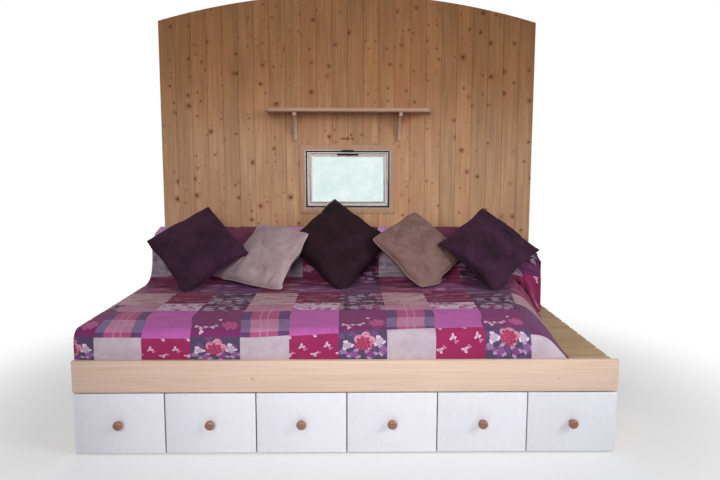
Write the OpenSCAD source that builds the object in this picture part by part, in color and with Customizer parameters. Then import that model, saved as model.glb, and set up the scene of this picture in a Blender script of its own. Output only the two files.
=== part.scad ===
// The sleeping end of a shepherds hut: the boarded end wall under the arched
// roof line, with its small window and its shelf, and the drawer bed built
// across it. Origin: middle of the underside of the wall's sole plate.
// X runs along the wall, Y from the room to the outside, Z up.

/* [End wall] */
// Clear width between the side walls, which the end wall fills
room_w = 2200; // [2000:10:2400]
// Height of the wall at its two edges, where the roof arc starts
eaves_h = 1985; // [1900:5:2200]
// Rise of the roof arc from the eaves to the middle of the wall
crown_rise = 155; // [80:5:300]
// Depth of the timber framing between the two boardings
frame_depth = 50; // [38:1:95]
// Face width of the posts, the sole plate and the arched rail
frame_face = 50; // [38:1:75]
// Face width of the studs inside the wall
stud_face = 38; // [30:1:50]
// Thickness of the inside boarding
lining_t = 12; // [9:1:20]
// Thickness of the outside boarding
cladding_t = 18; // [12:1:25]

/* [Window] */
// Width of the metal window over its frame
window_w = 512; // [420:2:600]
// Height of the metal window over its frame
window_h = 350; // [300:2:420]
// Height of the middle of the window above the floor
window_mid_h = 1072; // [1040:2:1150]
// Width of the fixed frame's face
window_frame_face = 11; // [8:1:16]
// Width of the opening sash's face
sash_face = 28; // [20:1:36]
// Width of the black gasket between the frame and the sash
gasket_w = 3; // [2:0.5:5]
// Thickness of the window glass
glass_t = 4; // [3:1:6]
// Width of the flat wooden trim round the window
trim_w = 30; // [20:1:50]
// Length of the pull bar on the sash
pull_len = 122; // [80:2:160]

/* [Shelf] */
// Length of the shelf
shelf_len = 950; // [700:10:1200]
// Depth of the shelf from the wall
shelf_depth = 150; // [120:5:200]
// Thickness of the shelf board
shelf_t = 19; // [15:1:25]
// Height of the top of the shelf above the floor
shelf_h = 1481; // [1420:1:1600]
// Radius of the two front corners of the shelf
shelf_corner_r = 50; // [10:5:80]
// Distance from the middle of the wall to each bracket
bracket_x = 306; // [200:2:400]
// Height of a bracket against the wall
bracket_h = 160; // [120:5:200]
// Thickness of a bracket
bracket_t = 18; // [15:1:25]

/* [Bed] */
// Depth of the bed from the wall to the face of the drawers
bed_depth = 1400; // [1250:10:1500]
// Height of the gap under the bed's front rail, where the drawers sit
drawer_bay_h = 262; // [220:2:320]
// Height of the front rail's own face
rail_h = 130; // [100:2:160]
// Height of the rail's lip above the slats
rail_lip = 20; // [10:1:30]
// Thickness of the bed's end panels and dividers
panel_t = 18; // [15:1:25]
// Number of slats across the depth of the bed
slat_count = 12; // [8:1:14]
// Width of a slat
slat_w = 95; // [70:1:96]
// Thickness of a slat
slat_t = 18; // [15:1:22]
// Thickness of the plywood floor that the drawers run on
bed_floor_t = 12; // [9:1:18]

/* [Bedding] */
// Length of the mattress from the left wall
mattress_len = 1895; // [1700:5:1950]
// Thickness of the mattress
mattress_t = 132; // [100:2:160]
// Rounding of the mattress along its top edges
mattress_r = 45; // [20:5:60]
// Thickness of the patchwork quilt
quilt_t = 8; // [5:1:12]
// Height of the back bolster above the mattress
bolster_h = 286; // [220:2:320]
// Depth of the back bolster from back to front
bolster_d = 270; // [240:5:290]
// Rounding of the bolster's top at the wall
bolster_back_r = 90; // [60:5:100]
// Rounding of the bolster's top towards the room
bolster_front_r = 110; // [80:5:120]
// Side of the four smaller scatter cushions
cushion_side = 400; // [350:5:400]
// Side of the large cushion in the middle
big_cushion_side = 420; // [380:5:420]
// Thickness of a scatter cushion at its middle
cushion_t = 100; // [80:5:100]

/* [Drawers] */
// Number of drawers across the bed
drawer_count = 6; // [6:1:6]
// Thickness of a drawer front
front_t = 18; // [15:1:22]
// Gap between one drawer front and the next, and under the rail
front_gap = 5; // [5:0.5:8]
// Height of the drawer fronts' lower edge above the floor
front_foot = 8; // [6:1:12]
// Depth of a drawer box behind its front
box_depth = 600; // [500:10:700]
// Height of a drawer box
box_h = 200; // [150:5:210]
// Thickness of the drawer box's sides
box_side_t = 12; // [9:1:15]
// Thickness of the drawer box's bottom
box_bottom_t = 6; // [4:1:9]
// Diameter of a drawer knob
knob_d = 40; // [32:1:45]
// Projection of a drawer knob
knob_len = 34; // [28:1:40]

/* [Hidden] */

round_fn = 48;
soft_fn = 24;

// Wall planes along Y
frame_in = -frame_depth / 2;
frame_out = frame_depth / 2;
room_y = frame_in - lining_t;
outside_y = frame_out + cladding_t;

// Roof arc
half_w = room_w / 2;
arc_r = (half_w * half_w + crown_rise * crown_rise) / (2 * crown_rise);
arc_mid_h = eaves_h + crown_rise - arc_r;
past = 10;

// Window
sash_w = window_w - 2 * (window_frame_face + gasket_w);
sash_h = window_h - 2 * (window_frame_face + gasket_w);
sash_y = room_y - 1;
sash_depth = 24;
glass_seat = 6;
frame_proud = 8;
trim_t = 6;
trim_outside_t = 12;
gasket_depth = 12;
pull_r = 4;
pull_post_r = 3;
pull_stand = 18;
pull_knob_r = 6.5;
pull_knob_half = 5;
pull_inset = 16;
pull_h = window_mid_h + sash_h / 2 - sash_face / 2;
catch_w = 66;
catch_h = 9;
catch_t = 14;
stud_span = 720;
noggin_h = 700;

// Shelf
bracket_depth = 130;
bracket_foot = 18;
bracket_nose = 22;

// Bed planes
front_y = room_y - bed_depth;
rail_t = front_t + front_gap;
carcass_y = front_y + rail_t;
slat_top = drawer_bay_h + rail_h - rail_lip;
slat_under = slat_top - slat_t;
bed_inner_d = room_y - carcass_y;
mattress_top = slat_top + mattress_t;
bedding_back = 8;
bedding_side = 5;
tuck_depth = 12;
tuck_gap = 1;
quilt_gap = 0.3;
bolster_foot_h = 60;
bolster_slope = 18;
mattress_left = -half_w + bedding_side;
mattress_right = mattress_left + mattress_len;
mattress_front = carcass_y + quilt_t + tuck_gap;
mattress_back = room_y - bedding_back;
bolster_front = mattress_back - bolster_d;
tuck_h = drawer_bay_h + rail_h - tuck_depth;

// Drawers
pitch = room_w / drawer_count;
front_w = pitch - front_gap;
front_h = drawer_bay_h - front_gap - front_foot;
front_mid_h = front_foot + front_h / 2;
box_side_gap = 5;
runner_gap = 1;
box_foot = bed_floor_t + runner_gap;
box_bottom_rise = 6;

// Cushion places: middle of the cushion, then its yaw, lean and spin
cushion_1_at = [-810, -462, 720];
cushion_1_turn = [4, 43, 10];
cushion_2_at = [-442, -465, 673];
cushion_2_turn = [-33, 45, -38];
cushion_3_at = [-64, -370, 730];
cushion_3_turn = [3, 44, 3];
cushion_4_at = [390, -421, 704];
cushion_4_turn = [23.5, 46, 16.5];
cushion_5_at = [771, -427, 709];
cushion_5_turn = [8.5, 46.5, 6];

function drawer_x(i) = -half_w + (i - 0.5) * pitch;
function divider_x(i) = -half_w + i * pitch;
// Faces of the panels on both sides of a drawer's bay
function bay_left(i) = i == 1 ? panel_t - half_w : divider_x(i - 1) + panel_t / 2;
function bay_right(i) = i == drawer_count ? half_w - panel_t : divider_x(i) - panel_t / 2;
function window_low() = window_mid_h - window_h / 2;
function window_high() = window_mid_h + window_h / 2;

// The outline of the wall under the roof arc, seen from the room
module wall_outline(inset = 0) {
    intersection() {
        translate([-half_w + inset, 0]) square([room_w - 2 * inset, eaves_h + crown_rise]);
        translate([0, arc_mid_h]) circle(r = arc_r - inset, $fn = round_fn * 4);
    }
}

// Stands a flat outline up on the wall, from one Y to another
module upright(y_from, y_to) {
    translate([0, y_to, 0]) rotate([90, 0, 0]) linear_extrude(y_to - y_from) children();
}

// Runs a profile drawn as [Y, Z] along X
module run_along_x(x_from, x_to) {
    translate([x_from, 0, 0]) rotate([90, 0, 90]) linear_extrude(x_to - x_from) children();
}

// A rectangle of the given size about a middle point
module mid_rect(w, h, z) {
    translate([-w / 2, z - h / 2]) square([w, h]);
}

// A rectangular frame of even width, seen from the room
module frame_ring(w, h, face) {
    difference() {
        mid_rect(w, h, window_mid_h);
        mid_rect(w - 2 * face, h - 2 * face, window_mid_h);
    }
}

module sole_plate() {
    color("burlywood")
        translate([-half_w, frame_in, 0]) cube([room_w, frame_depth, frame_face]);
}

module corner_post(side) {
    color("burlywood")
        upright(frame_in, frame_out)
            intersection() {
                wall_outline();
                translate([0, arc_mid_h]) circle(r = arc_r - frame_face, $fn = round_fn * 4);
                translate([side > 0 ? half_w - frame_face : -half_w, frame_face])
                    square([frame_face, eaves_h + crown_rise]);
            }
}

module arched_top_rail() {
    color("burlywood")
        upright(frame_in, frame_out)
            difference() {
                wall_outline();
                translate([0, arc_mid_h]) circle(r = arc_r - frame_face, $fn = round_fn * 4);
                translate([-half_w - past, -past]) square([room_w + 2 * past, eaves_h / 2]);
            }
}

// Studs and noggins that the boarding is nailed to, with the window's trimmers
module wall_studs() {
    trim_x = window_w / 2;
    color("tan")
        upright(frame_in, frame_out)
            intersection() {
                translate([0, arc_mid_h]) circle(r = arc_r - frame_face, $fn = round_fn * 4);
                union() {
                    for (side = [-1, 1]) {
                        translate([side * stud_span - stud_face / 2, frame_face])
                            square([stud_face, eaves_h + crown_rise]);
                        translate([side > 0 ? trim_x : -trim_x - stud_face, frame_face])
                            square([stud_face, eaves_h + crown_rise]);
                        translate([side > 0 ? trim_x : -half_w + frame_face, noggin_h])
                            square([half_w - frame_face - trim_x, stud_face]);
                    }
                    translate([-trim_x, window_high()]) square([window_w, stud_face]);
                    translate([-trim_x, window_low() - stud_face]) square([window_w, stud_face]);
                }
            }
}

// One field of boarding between two X values and two heights, under the arc
module boarding(x_from, x_to, z_from, z_to, y_from, y_to) {
    upright(y_from, y_to)
        intersection() {
            wall_outline();
            translate([x_from, z_from]) square([x_to - x_from, z_to - z_from]);
        }
}

module side_boarding(side, y_from, y_to) {
    inner = window_w / 2;
    boarding(side > 0 ? inner : -half_w, side > 0 ? half_w : -inner,
             0, eaves_h + crown_rise, y_from, y_to);
}

module lining_side(side) {
    color("wheat") side_boarding(side, room_y, frame_in);
}

module lining_above_window() {
    color("wheat")
        boarding(-window_w / 2, window_w / 2, window_high(), eaves_h + crown_rise, room_y, frame_in);
}

module lining_below_window() {
    color("wheat") boarding(-window_w / 2, window_w / 2, 0, window_low(), room_y, frame_in);
}

module cladding_side(side) {
    color("peru") side_boarding(side, frame_out, outside_y);
}

module cladding_above_window() {
    color("peru")
        boarding(-window_w / 2, window_w / 2, window_high(), eaves_h + crown_rise, frame_out, outside_y);
}

module cladding_below_window() {
    color("peru") boarding(-window_w / 2, window_w / 2, 0, window_low(), frame_out, outside_y);
}

module window_frame() {
    color("silver")
        upright(room_y - frame_proud, outside_y + frame_proud / 2)
            frame_ring(window_w, window_h, window_frame_face);
}

// The gasket fills the joint between the frame and the sash on the room side
module window_gasket() {
    color("black")
        upright(sash_y, sash_y + gasket_depth)
            frame_ring(sash_w + 2 * gasket_w, sash_h + 2 * gasket_w, gasket_w);
}

// The sash has a groove all round that the glass sits in
module window_sash() {
    color("gainsboro")
        difference() {
            upright(sash_y, sash_y + sash_depth) frame_ring(sash_w, sash_h, sash_face);
            glass_solid();
        }
}

module glass_solid() {
    mid_y = sash_y + sash_depth / 2;
    upright(mid_y - glass_t / 2, mid_y + glass_t / 2)
        mid_rect(sash_w - 2 * sash_face + 2 * glass_seat,
                 sash_h - 2 * sash_face + 2 * glass_seat, window_mid_h);
}

module window_glass() {
    color([0.75, 0.88, 0.86, 0.5]) glass_solid();
}

// Half the section of the turned pull bar, with a collar at each end and one in the middle
module pull_section() {
    half = pull_len / 2;
    k = pull_knob_half;
    polygon([[0, -half], [pull_r, -half], [pull_knob_r, k / 2 - half], [pull_knob_r, 1.5 * k - half],
             [pull_r, 2 * k - half], [pull_r, -k], [pull_knob_r, -k / 2], [pull_knob_r, k / 2],
             [pull_r, k], [pull_r, half - 2 * k], [pull_knob_r, half - 1.5 * k],
             [pull_knob_r, half - k / 2], [pull_r, half], [0, half]]);
}

// Pull bar on the sash's top rail, and the catch on the frame above it
module window_pull() {
    bar_y = sash_y - pull_stand;
    color("#202020") {
        translate([0, bar_y, pull_h]) rotate([0, 90, 0])
            rotate_extrude($fn = round_fn) pull_section();
        for (side = [-1, 1])
            translate([side * (pull_len / 2 - pull_inset), sash_y, pull_h]) rotate([90, 0, 0])
                cylinder(h = pull_stand, r = pull_post_r, $fn = round_fn);
        translate([-catch_w / 2, room_y - frame_proud - catch_t, window_high() - catch_h - 1])
            cube([catch_w, catch_t, catch_h]);
    }
}

module window_trim_inside() {
    color("wheat")
        upright(room_y - trim_t, room_y)
            frame_ring(window_w + 2 * trim_w, window_h + 2 * trim_w, trim_w);
}

module window_trim_outside() {
    color("peru")
        upright(outside_y, outside_y + trim_outside_t)
            frame_ring(window_w + 2 * trim_w, window_h + 2 * trim_w, trim_w);
}

module shelf_board() {
    color("wheat")
        translate([0, room_y, shelf_h - shelf_t]) linear_extrude(shelf_t) {
            translate([-shelf_len / 2, shelf_corner_r - shelf_depth])
                square([shelf_len, shelf_depth - shelf_corner_r]);
            translate([shelf_corner_r - shelf_len / 2, -shelf_depth])
                square([shelf_len - 2 * shelf_corner_r, shelf_corner_r]);
            for (side = [-1, 1])
                translate([side * (shelf_len / 2 - shelf_corner_r), shelf_corner_r - shelf_depth])
                    circle(r = shelf_corner_r, $fn = round_fn);
        }
}

// A bracket cut from one board, with a hollow curve from its foot to its nose
module shelf_bracket(side) {
    rise = bracket_h - bracket_nose;
    reach = bracket_depth;
    curve_x = (reach * reach + rise * rise - bracket_foot * bracket_foot)
              / (2 * (reach - bracket_foot));
    curve_r = curve_x - bracket_foot;
    color("wheat")
        translate([side * bracket_x - bracket_t / 2, room_y, shelf_h - shelf_t - bracket_h])
            rotate([90, 0, 90]) linear_extrude(bracket_t) mirror([1, 0])
                difference() {
                    square([bracket_depth, bracket_h]);
                    translate([curve_x, 0]) circle(r = curve_r, $fn = round_fn * 2);
                }
}

module bed_front_rail() {
    color("wheat")
        translate([-half_w, front_y, drawer_bay_h]) cube([room_w, rail_t, rail_h]);
}

module bed_end(side) {
    color("wheat")
        translate([side > 0 ? half_w - panel_t : -half_w, carcass_y, 0])
            cube([panel_t, bed_inner_d, slat_under]);
}

module bed_divider(i) {
    color("wheat")
        translate([divider_x(i) - panel_t / 2, carcass_y, bed_floor_t])
            cube([panel_t, bed_inner_d, slat_under - bed_floor_t]);
}

module bed_slats() {
    step = (bed_inner_d - slat_w) / (slat_count - 1);
    color("burlywood")
        for (i = [0 : slat_count - 1])
            translate([-half_w, carcass_y + i * step, slat_under]) cube([room_w, slat_w, slat_t]);
}

module bed_floor() {
    color("tan")
        translate([panel_t - half_w, carcass_y, 0])
            cube([room_w - 2 * panel_t, bed_inner_d, bed_floor_t]);
}

// Profiles of the bedding, drawn as [Y, Z]
module mattress_profile() {
    hull() {
        translate([mattress_front, slat_top])
            square([mattress_back - mattress_front, mattress_t - mattress_r]);
        for (y = [mattress_front + mattress_r, mattress_back - mattress_r])
            translate([y, mattress_top - mattress_r]) circle(r = mattress_r, $fn = soft_fn);
    }
}

module bolster_profile() {
    hull() {
        translate([bolster_front, mattress_top]) square([bolster_d, bolster_foot_h]);
        translate([mattress_back - bolster_back_r, mattress_top + bolster_h - bolster_back_r])
            circle(r = bolster_back_r, $fn = soft_fn);
        translate([bolster_front + bolster_front_r,
                   mattress_top + bolster_h - bolster_slope - bolster_front_r])
            circle(r = bolster_front_r, $fn = soft_fn);
    }
}

module end_bolster_profile() {
    translate([bolster_front, slat_top]) square([bolster_d, mattress_t]);
}

// The skin of the given thickness over a profile, in front of the bedding's back
module quilt_skin(low_z) {
    difference() {
        offset(r = quilt_t, $fn = soft_fn) children();
        offset(r = quilt_gap, $fn = soft_fn) children();
        translate([mattress_back, 0]) square([frame_depth, eaves_h]);
        translate([front_y, 0]) square([bed_depth + frame_depth, low_z]);
    }
}

module mattress() {
    color("white") run_along_x(mattress_left, mattress_right) mattress_profile();
}

module back_bolster() {
    color("white") run_along_x(mattress_left, half_w - bedding_side) bolster_profile();
}

// Fills the corner beyond the mattress, where the bolster runs on to the wall
module end_bolster() {
    color("white")
        run_along_x(mattress_right + quilt_t + tuck_gap, half_w - bedding_side)
            end_bolster_profile();
}

// The quilt goes over the mattress and up over the bolster, is tucked behind
// the front rail and hangs down the mattress's free end
module quilt() {
    color("mediumvioletred") {
        run_along_x(mattress_left, mattress_right + quilt_gap)
            quilt_skin(tuck_h) {
                union() {
                    mattress_profile();
                    bolster_profile();
                    translate([bolster_front, mattress_top - mattress_r])
                        square([bolster_d, mattress_r]);
                }
            }
        run_along_x(mattress_right + quilt_gap, mattress_right + quilt_t)
            difference() {
                offset(r = quilt_t, $fn = soft_fn) mattress_profile();
                offset(r = quilt_gap, $fn = soft_fn) bolster_profile();
                translate([mattress_back, 0]) square([frame_depth, eaves_h]);
                translate([front_y, 0]) square([bed_depth + frame_depth, tuck_h]);
            }
        run_along_x(mattress_right + quilt_t, half_w - bedding_side)
            quilt_skin(slat_top) {
                union() {
                    end_bolster_profile();
                    bolster_profile();
                }
            }
    }
}

// A square cushion, fullest in the middle, with sides that draw in a little
// between its corners. It lies in the XZ plane with its seam all round.
module cushion(side, thick) {
    rings = 5;
    sides = 32;
    seam = 3;
    draw_in = 0.06;
    function reach(a) = let (m = max(abs(cos(a)), abs(sin(a))), k = abs(cos(2 * a)))
        side / 2 / m * (1 - draw_in * k);
    function half_t(q) = seam + (thick / 2 - seam) * sqrt(1 - q * q) * (1 - 0.25 * q);
    function pt(a, q, face) = [cos(a) * q * reach(a), face * half_t(q), sin(a) * q * reach(a)];
    front = [for (r = [1 : rings], s = [0 : sides - 1]) pt(s * 360 / sides, r / rings, -1)];
    back = [for (r = [1 : rings], s = [0 : sides - 1]) pt(s * 360 / sides, r / rings, 1)];
    n = rings * sides;
    points = concat(front, back, [[0, -thick / 2, 0], [0, thick / 2, 0]]);
    rim = (rings - 1) * sides;
    faces = concat(
        [for (s = [0 : sides - 1]) [2 * n, (s + 1) % sides, s]],
        [for (s = [0 : sides - 1]) [2 * n + 1, n + s, n + (s + 1) % sides]],
        [for (r = [0 : rings - 2], s = [0 : sides - 1], h = [0, 1])
            let (a = r * sides + s, b = r * sides + (s + 1) % sides, c = a + sides, d = b + sides)
            h == 0 ? [a, b, d] : [a, d, c]],
        [for (r = [0 : rings - 2], s = [0 : sides - 1], h = [0, 1])
            let (a = n + r * sides + s, b = n + r * sides + (s + 1) % sides, c = a + sides, d = b + sides)
            h == 0 ? [a, d, b] : [a, c, d]],
        [for (s = [0 : sides - 1], h = [0, 1])
            let (a = rim + s, b = rim + (s + 1) % sides, c = n + a, d = n + b)
            h == 0 ? [a, b, d] : [a, d, c]]);
    polyhedron(points = points, faces = faces);
}

// Stands a cushion on its corner, leaning back, at the place given
module placed_cushion(at, turn, side) {
    translate(at) rotate([0, 0, turn[0]]) rotate([-turn[1], 0, 0])
        rotate([0, 45 + turn[2], 0]) cushion(side, cushion_t);
}

module cushion_1_plum() {
    color("#3a1f38") placed_cushion(cushion_1_at, cushion_1_turn, cushion_side);
}

module cushion_2_cream() {
    color("#b8a09a") placed_cushion(cushion_2_at, cushion_2_turn, cushion_side);
}

module cushion_3_large_plum() {
    color("#2b161f") placed_cushion(cushion_3_at, cushion_3_turn, big_cushion_side);
}

module cushion_4_beige() {
    color("#b09a88") placed_cushion(cushion_4_at, cushion_4_turn, cushion_side);
}

module cushion_5_plum() {
    color("#371c36") placed_cushion(cushion_5_at, cushion_5_turn, cushion_side);
}

module drawer_front(i) {
    color("whitesmoke")
        translate([drawer_x(i) - front_w / 2, front_y, front_foot])
            cube([front_w, front_t, front_h]);
}

// An open tray of thin boards, with its bottom let in above the side boards' lower edges
module drawer_box(i) {
    box_left = bay_left(i) + box_side_gap;
    box_w = bay_right(i) - box_side_gap - box_left;
    color("moccasin")
        translate([box_left, front_y + front_t, box_foot])
            difference() {
                cube([box_w, box_depth, box_h]);
                translate([box_side_t, box_side_t, box_bottom_rise + box_bottom_t])
                    cube([box_w - 2 * box_side_t, box_depth - 2 * box_side_t, box_h]);
                translate([box_side_t, box_side_t, -past])
                    cube([box_w - 2 * box_side_t, box_depth - 2 * box_side_t,
                          box_bottom_rise + past]);
            }
}

// A turned knob: a narrow neck, a full round body and a slightly flattened face
module drawer_knob(i) {
    r = knob_d / 2;
    neck_r = 0.42 * r;
    body_mid = knob_len - 0.62 * r;
    flat_r = 0.45 * r;
    color("burlywood")
        translate([drawer_x(i), front_y, front_mid_h]) rotate([90, 0, 0])
            rotate_extrude($fn = round_fn)
                polygon(concat([[0, 0], [neck_r * 1.5, 0], [neck_r * 1.5, 2.5], [neck_r, 4.5]],
                               [for (a = [-50 : 14 : 62]) [r * cos(a), body_mid + 0.62 * r * sin(a)]],
                               [[flat_r, knob_len], [0, knob_len]]));
}

sole_plate();
corner_post(-1);  // corner_post_left
corner_post(1);  // corner_post_right
arched_top_rail();
wall_studs();
lining_side(-1);  // lining_left
lining_side(1);  // lining_right
lining_above_window();
lining_below_window();
cladding_side(-1);  // cladding_left
cladding_side(1);  // cladding_right
cladding_above_window();
cladding_below_window();
window_frame();
window_sash();
window_gasket();
window_glass();
window_pull();
window_trim_inside();
window_trim_outside();
shelf_board();
shelf_bracket(-1);  // shelf_bracket_left
shelf_bracket(1);  // shelf_bracket_right
bed_front_rail();
bed_end(-1);  // bed_end_left
bed_end(1);  // bed_end_right
bed_divider(1);  // bed_divider_1
bed_divider(2);  // bed_divider_2
bed_divider(3);  // bed_divider_3
bed_divider(4);  // bed_divider_4
bed_divider(5);  // bed_divider_5
bed_slats();
bed_floor();
mattress();
back_bolster();
end_bolster();
quilt();
cushion_1_plum();
cushion_2_cream();
cushion_3_large_plum();
cushion_4_beige();
cushion_5_plum();
drawer_front(1);  // drawer_front_1
drawer_front(2);  // drawer_front_2
drawer_front(3);  // drawer_front_3
drawer_front(4);  // drawer_front_4
drawer_front(5);  // drawer_front_5
drawer_front(6);  // drawer_front_6
drawer_box(1);  // drawer_box_1
drawer_box(2);  // drawer_box_2
drawer_box(3);  // drawer_box_3
drawer_box(4);  // drawer_box_4
drawer_box(5);  // drawer_box_5
drawer_box(6);  // drawer_box_6
drawer_knob(1);  // drawer_knob_1
drawer_knob(2);  // drawer_knob_2
drawer_knob(3);  // drawer_knob_3
drawer_knob(4);  // drawer_knob_4
drawer_knob(5);  // drawer_knob_5
drawer_knob(6);  // drawer_knob_6
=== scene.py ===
# %% [markdown]
# # The sleeping end of a shepherds hut
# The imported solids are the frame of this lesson: the end wall, its window and shelf, and the
# drawer bed with its bedding. Each step dresses one part of it. Solids whose shape is already
# right keep it and get a finish, and the others are stood for by a more detailed piece.

# %% Load the frame
from contextlib import contextmanager
from math import acos, atan2, cos, exp, pi, radians, sin, sqrt

import bmesh
import bpy
from mathutils import Matrix, Vector, noise
from mathutils.bvhtree import BVHTree
from mathutils.kdtree import KDTree


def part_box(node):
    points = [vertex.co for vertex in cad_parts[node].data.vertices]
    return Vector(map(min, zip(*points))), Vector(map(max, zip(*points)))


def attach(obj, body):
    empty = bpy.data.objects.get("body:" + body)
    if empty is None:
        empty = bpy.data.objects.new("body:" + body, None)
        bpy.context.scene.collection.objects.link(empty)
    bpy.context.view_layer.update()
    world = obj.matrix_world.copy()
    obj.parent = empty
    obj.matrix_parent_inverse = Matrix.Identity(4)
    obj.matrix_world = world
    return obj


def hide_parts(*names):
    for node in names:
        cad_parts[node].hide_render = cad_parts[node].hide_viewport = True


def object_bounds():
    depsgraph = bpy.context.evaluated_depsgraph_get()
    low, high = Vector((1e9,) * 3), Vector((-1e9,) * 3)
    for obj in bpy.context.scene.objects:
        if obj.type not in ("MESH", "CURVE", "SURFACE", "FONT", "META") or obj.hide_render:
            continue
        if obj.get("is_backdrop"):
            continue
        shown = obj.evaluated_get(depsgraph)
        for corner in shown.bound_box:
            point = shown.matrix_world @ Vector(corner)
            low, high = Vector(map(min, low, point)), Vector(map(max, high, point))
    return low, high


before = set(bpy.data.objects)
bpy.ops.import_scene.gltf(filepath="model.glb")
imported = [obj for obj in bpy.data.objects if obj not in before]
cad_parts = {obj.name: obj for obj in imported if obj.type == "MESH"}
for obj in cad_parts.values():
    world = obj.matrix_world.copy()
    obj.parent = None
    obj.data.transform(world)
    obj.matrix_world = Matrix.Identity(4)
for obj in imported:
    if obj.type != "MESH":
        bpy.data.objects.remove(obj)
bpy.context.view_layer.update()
bpy.ops.object.select_all(action="DESELECT")

# %% [markdown]
# ## Camera
# The camera stands in the room a little above table height and looks at the middle of the end
# wall, slightly down. Its place and lens were worked out from the lines of the boards and the
# drawers.

# %% Camera
DOWN, ROLL, TURN = 0.1232, -0.0019, -0.0156  # in radians
bpy.ops.object.camera_add(location=(0.0113, -3.9977, 1.1965),
                          rotation=(pi / 2 - DOWN, ROLL, TURN))
camera = bpy.context.object
camera.name = "Camera"
camera.data.sensor_width = 36
camera.data.lens = 32.95
bpy.context.scene.camera = camera
print("camera lens:", camera.data.lens)

# %% [markdown]
# ## Helpers for shaders
# A finish is a material made of nodes. Adding and wiring each node by hand makes long recipes,
# so a value that runs through a shader is wrapped as a Wire here. The signs + - * / then add the
# nodes for that arithmetic, | takes the greater of two values, an index picks another outlet of
# the same node, and x, y, z = takes its outlets in order. put adds any other node, and wires or
# sets its inputs.

# %% Shader helpers
class Wire:
    """A value in the tree of nodes that is being wired."""
    tree = None

    def __init__(self, socket):
        self.socket = socket

    def __getitem__(self, outlet):
        return Wire(self.socket.node.outputs[outlet])


def feed(node, inputs):
    """Wires or sets the inputs of a node. A colour is given as red, green and blue."""
    for key, value in inputs.items():
        socket = node.inputs[key]
        if isinstance(value, Wire):
            Wire.tree.links.new(value.socket, socket)
        else:
            socket.default_value = (*value, 1) if socket.type == "RGBA" else value


def put(kind, inputs=None, **settings):
    """Adds a node, sets its options and its inputs, and returns its first outlet."""
    made = Wire.tree.nodes.new("ShaderNode" + kind)
    for key, value in settings.items():
        setattr(made, key, value)
    feed(made, inputs or {})
    return Wire(made.outputs[0])


def calc(what, *terms):
    """One step of arithmetic on wires and numbers."""
    return put("Math", dict(enumerate(terms)), operation=what)


# from here on a + b, 2 * a or a | b with a wire adds the node for it
for sign, what in (("add", "ADD"), ("sub", "SUBTRACT"), ("mul", "MULTIPLY"),
                   ("truediv", "DIVIDE"), ("or", "MAXIMUM")):
    setattr(Wire, f"__{sign}__", lambda one, two, what=what: calc(what, one, two))
    setattr(Wire, f"__r{sign}__", lambda one, two, what=what: calc(what, two, one))


# %% Finish helpers
def finish_called(name, amounts=None):
    """A new material, into which the next nodes go. Amounts set plain inputs of its shader."""
    mat = bpy.data.materials.new(name)
    mat.use_nodes = True
    Wire.tree = mat.node_tree
    feed(mat.node_tree.nodes["Principled BSDF"], amounts or {})
    return mat


def wear(colour, rough, height, strength, depth):
    """Gives the main shader its colour, its roughness and dents that follow a height."""
    dents = put("Bump", {"Height": height, "Strength": strength, "Distance": depth})
    feed(Wire.tree.nodes["Principled BSDF"],
         {"Base Color": colour, "Roughness": rough, "Normal": dents})


def fade(value, start, end, low=0.0, high=1.0):
    """Goes smoothly from low to high while value goes from start to end."""
    return put("MapRange", {"Value": value, "From Min": start, "From Max": end, "To Min": low,
                            "To Max": high}, interpolation_type="SMOOTHSTEP")


def tint(share, one, two, how="MIX"):
    """Blends two colours by a share from 0 to 1."""
    # the Mix node has its own sockets for colours: 6 and 7 go in, and 2 comes out
    return put("Mix", {0: share, 6: one, 7: two}, data_type="RGBA", blend_type=how)[2]


def point_of(x, y, z=0.0):
    """A vector from its three parts."""
    return put("CombineXYZ", {0: x, 1: y, 2: z})


def length_of(vector):
    """How long a vector is."""
    return put("VectorMath", {0: vector}, operation="LENGTH")["Value"]


def speckle(where, scale, detail=2.0, rough=0.5):
    """Soft noise, as a number about one half."""
    return put("TexNoise", {"Vector": where, "Scale": scale, "Detail": detail,
                            "Roughness": rough})


# %% [markdown]
# ## Light
# The light is plain, so that every finish shows its own colour. One large soft lamp stands
# beside the camera and reaches the front of the bed more than the wall behind it. A second one
# comes from the right, and a third lights the outside of the wall. The sky is an even grey for
# what it lights, and white where the camera or a mirror image sees it. Away from the bed the
# floor fades into a white glow, which only the camera sees, so it has no horizon.

# %% Lamps, sky and floor
def soft_lamp(name, place, aim, size, watts, colour, beam):
    """A square area lamp that shines at a point, in a beam of some width in degrees."""
    bpy.ops.object.light_add(type="AREA", location=place)
    lamp = bpy.context.object
    lamp.name = name
    lamp.rotation_euler = (Vector(aim) - Vector(place)).to_track_quat("-Z", "Y").to_euler()
    lamp.data.size, lamp.data.energy, lamp.data.color = size, watts, colour
    lamp.data.spread = radians(beam)


soft_lamp("Key lamp", (-0.7, -4.7, 2.0), (0, -0.9, 0.5), 1.6, 10.1, (1, 0.985, 0.97), 58)
soft_lamp("Side lamp", (2.5, -2.6, 1.9), (-0.1, -0.85, 0.45), 1.5, 12.9, (0.96, 0.98, 1), 78)
soft_lamp("Back lamp", (-1.5, 3.6, 2.3), (0, 0, 1.0), 1.5, 13, (1, 0.985, 0.97), 66)

scene = bpy.context.scene
scene.view_settings.view_transform = "Standard"
scene.world = sky = bpy.data.worlds.new("Sky")
sky.use_nodes = True
Wire.tree = sky.node_tree
even = sky.node_tree.nodes["Background"]
feed(even, {"Color": (0.9, 0.93, 1), "Strength": 0.3})
white_sky = put("Background", {"Color": (1, 1, 1)})
ray = put("LightPath")
seen = ray["Is Camera Ray"] | ray["Is Transmission Ray"] | ray["Is Glossy Ray"]
shown = put("MixShader", {0: seen, 1: Wire(even.outputs[0]), 2: white_sky})
feed(sky.node_tree.nodes["World Output"], {"Surface": shown})

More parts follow.
